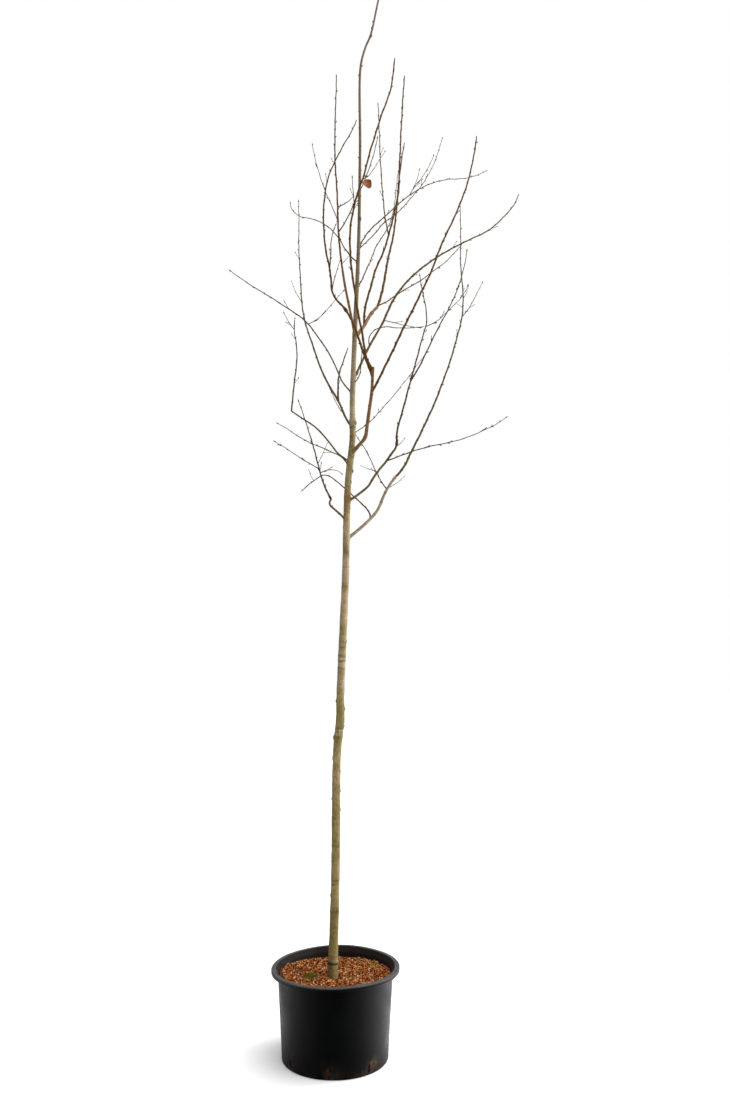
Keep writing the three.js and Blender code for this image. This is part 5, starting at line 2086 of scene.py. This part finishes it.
def make_stage(stage):
    """Pale floor, sky, three soft lights and the camera."""
    ways = ((-1, -1), (1, -1), (1, 1), (-1, 1))
    corners = [(x * FLOOR_REACH, y * FLOOR_REACH, 0) for x, y in ways]
    floor = placed("floor", mesh_of("floor", corners, [(0, 1, 2, 3)], floor_paint(stage), smooth=False))
    floor.location.z = -FLOOR_DROP
    floor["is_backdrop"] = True
    make_sky(stage)
    key = bpy.data.lights.new("key", "SUN")
    key.energy = stage.key
    key.angle = math.radians(KEY_SOFTNESS)
    lamp_at(key, KEY_PLACE, (0, 0, 0))
    area_lamp("right_side", stage.fill, *FILL_LAMP)
    area_lamp("left_sheen", stage.sheen, *SHEEN_LAMP).visible_diffuse = False
    bpy.context.scene.view_settings.view_transform = "Standard"
    data = bpy.data.cameras.new("front_view")
    data.lens = stage.lens
    data.sensor_width = SENSOR_WIDTH
    data.clip_end = SIGHT_REACH
    camera = placed("front_view", data)
    camera.location = CAMERA_PLACE
    camera.rotation_euler = (math.radians(90 + CAMERA_PITCH), 0, 0)
    bpy.context.scene.camera = camera


# Add-on.


def limbs_of(scene):
    """The tree's centre lines for the scene's seed."""
    return crown(scene.serviceberry_crown.seed)


class SERVICEBERRY_OT_pot(bpy.types.Operator):
    """Turn the pot and cut its drain slots"""

    bl_idname = "serviceberry.pot"
    bl_label = "Pot"

    def execute(self, context):
        make_pot(context.scene.serviceberry_pot)
        return {"FINISHED"}


class SERVICEBERRY_OT_mix(bpy.types.Operator):
    """Fill the pot with potting mix"""

    bl_idname = "serviceberry.mix"
    bl_label = "Potting Mix"

    def execute(self, context):
        make_mix(context.scene.serviceberry_mix, context.scene.serviceberry_pot)
        return {"FINISHED"}


class SERVICEBERRY_OT_chips(bpy.types.Operator):
    """Strew the bark chips over the mix"""

    bl_idname = "serviceberry.chips"
    bl_label = "Bark Chips"

    def execute(self, context):
        make_chips(context.scene.serviceberry_mix)
        return {"FINISHED"}


class SERVICEBERRY_OT_moss(bpy.types.Operator):
    """Set the tuft of moss on the mix"""

    bl_idname = "serviceberry.moss"
    bl_label = "Moss"

    def execute(self, context):
        make_moss(context.scene.serviceberry_mix)
        return {"FINISHED"}


class SERVICEBERRY_OT_trunk(bpy.types.Operator):
    """Raise the trunk with its bark relief"""

    bl_idname = "serviceberry.trunk"
    bl_label = "Trunk"

    def execute(self, context):
        make_trunk(context.scene.serviceberry_bark, limbs_of(context.scene))
        return {"FINISHED"}


class SERVICEBERRY_OT_boughs(bpy.types.Operator):
    """Set the boughs on the trunk"""

    bl_idname = "serviceberry.boughs"
    bl_label = "Boughs"

    def execute(self, context):
        make_boughs(context.scene.serviceberry_bark, limbs_of(context.scene))
        return {"FINISHED"}


class SERVICEBERRY_OT_shoots(bpy.types.Operator):
    """Grow the stems and long shoots on from the boughs"""

    bl_idname = "serviceberry.shoots"
    bl_label = "Shoots"

    def execute(self, context):
        make_shoots(context.scene.serviceberry_crown, limbs_of(context.scene))
        return {"FINISHED"}


class SERVICEBERRY_OT_twigs(bpy.types.Operator):
    """Grow the fine twigs, side twigs and spurs"""

    bl_idname = "serviceberry.twigs"
    bl_label = "Twigs"

    def execute(self, context):
        make_twigs(context.scene.serviceberry_crown, limbs_of(context.scene))
        return {"FINISHED"}


class SERVICEBERRY_OT_buds(bpy.types.Operator):
    """Set the buds along the shoots"""

    bl_idname = "serviceberry.buds"
    bl_label = "Buds"

    def execute(self, context):
        make_buds(context.scene.serviceberry_crown, limbs_of(context.scene))
        return {"FINISHED"}


class SERVICEBERRY_OT_leaf(bpy.types.Operator):
    """Hang the withered leaf"""

    bl_idname = "serviceberry.leaf"
    bl_label = "Withered Leaf"

    def execute(self, context):
        make_leaf(context.scene.serviceberry_crown, limbs_of(context.scene))
        return {"FINISHED"}


class SERVICEBERRY_OT_stage(bpy.types.Operator):
    """Lay the floor and set the light and the camera"""

    bl_idname = "serviceberry.stage"
    bl_label = "Stage"

    def execute(self, context):
        make_stage(context.scene.serviceberry_stage)
        return {"FINISHED"}


SETTINGS = {
    "serviceberry_pot": PotSettings,
    "serviceberry_mix": MixSettings,
    "serviceberry_bark": BarkSettings,
    "serviceberry_crown": CrownSettings,
    "serviceberry_stage": StageSettings,
}
OPERATORS = (
    SERVICEBERRY_OT_pot, SERVICEBERRY_OT_mix, SERVICEBERRY_OT_chips, SERVICEBERRY_OT_moss,
    SERVICEBERRY_OT_trunk, SERVICEBERRY_OT_boughs, SERVICEBERRY_OT_shoots, SERVICEBERRY_OT_twigs,
    SERVICEBERRY_OT_buds, SERVICEBERRY_OT_leaf, SERVICEBERRY_OT_stage,
)


class SERVICEBERRY_PT_panel(bpy.types.Panel):
    """Sizes, colours and steps of the potted tree"""

    bl_label = "Potted Serviceberry"
    bl_idname = "SERVICEBERRY_PT_panel"
    bl_space_type = "VIEW_3D"
    bl_region_type = "UI"
    bl_category = "Serviceberry"

    def draw(self, context):
        for name, kind in SETTINGS.items():
            box = self.layout.box()
            for entry in kind.__annotations__:
                box.prop(getattr(context.scene, name), entry)
        for operator in OPERATORS:
            self.layout.operator(operator.bl_idname)


CLASSES = (*SETTINGS.values(), *OPERATORS, SERVICEBERRY_PT_panel)


def register():
    """Adds the settings, the operators and the panel."""
    for cls in CLASSES:
        bpy.utils.register_class(cls)
    for name, kind in SETTINGS.items():
        setattr(bpy.types.Scene, name, PointerProperty(type=kind))


def unregister():
    """Takes them out again."""
    for name in SETTINGS:
        delattr(bpy.types.Scene, name)
    for cls in reversed(CLASSES):
        bpy.utils.unregister_class(cls)


def main():
    """Makes the pieces and the stage in order."""
    register()
    bpy.ops.serviceberry.pot()
    bpy.ops.serviceberry.mix()
    bpy.ops.serviceberry.chips()
    bpy.ops.serviceberry.moss()
    bpy.ops.serviceberry.trunk()
    bpy.ops.serviceberry.boughs()
    bpy.ops.serviceberry.shoots()
    bpy.ops.serviceberry.twigs()
    bpy.ops.serviceberry.buds()
    bpy.ops.serviceberry.leaf()
    bpy.ops.serviceberry.stage()
    boxes = {"cad": CAD_BOX, "visual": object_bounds()}
    {name: [list(c) for c in corners] for name, corners in boxes.items()}


if __name__ == "__main__":
    main()
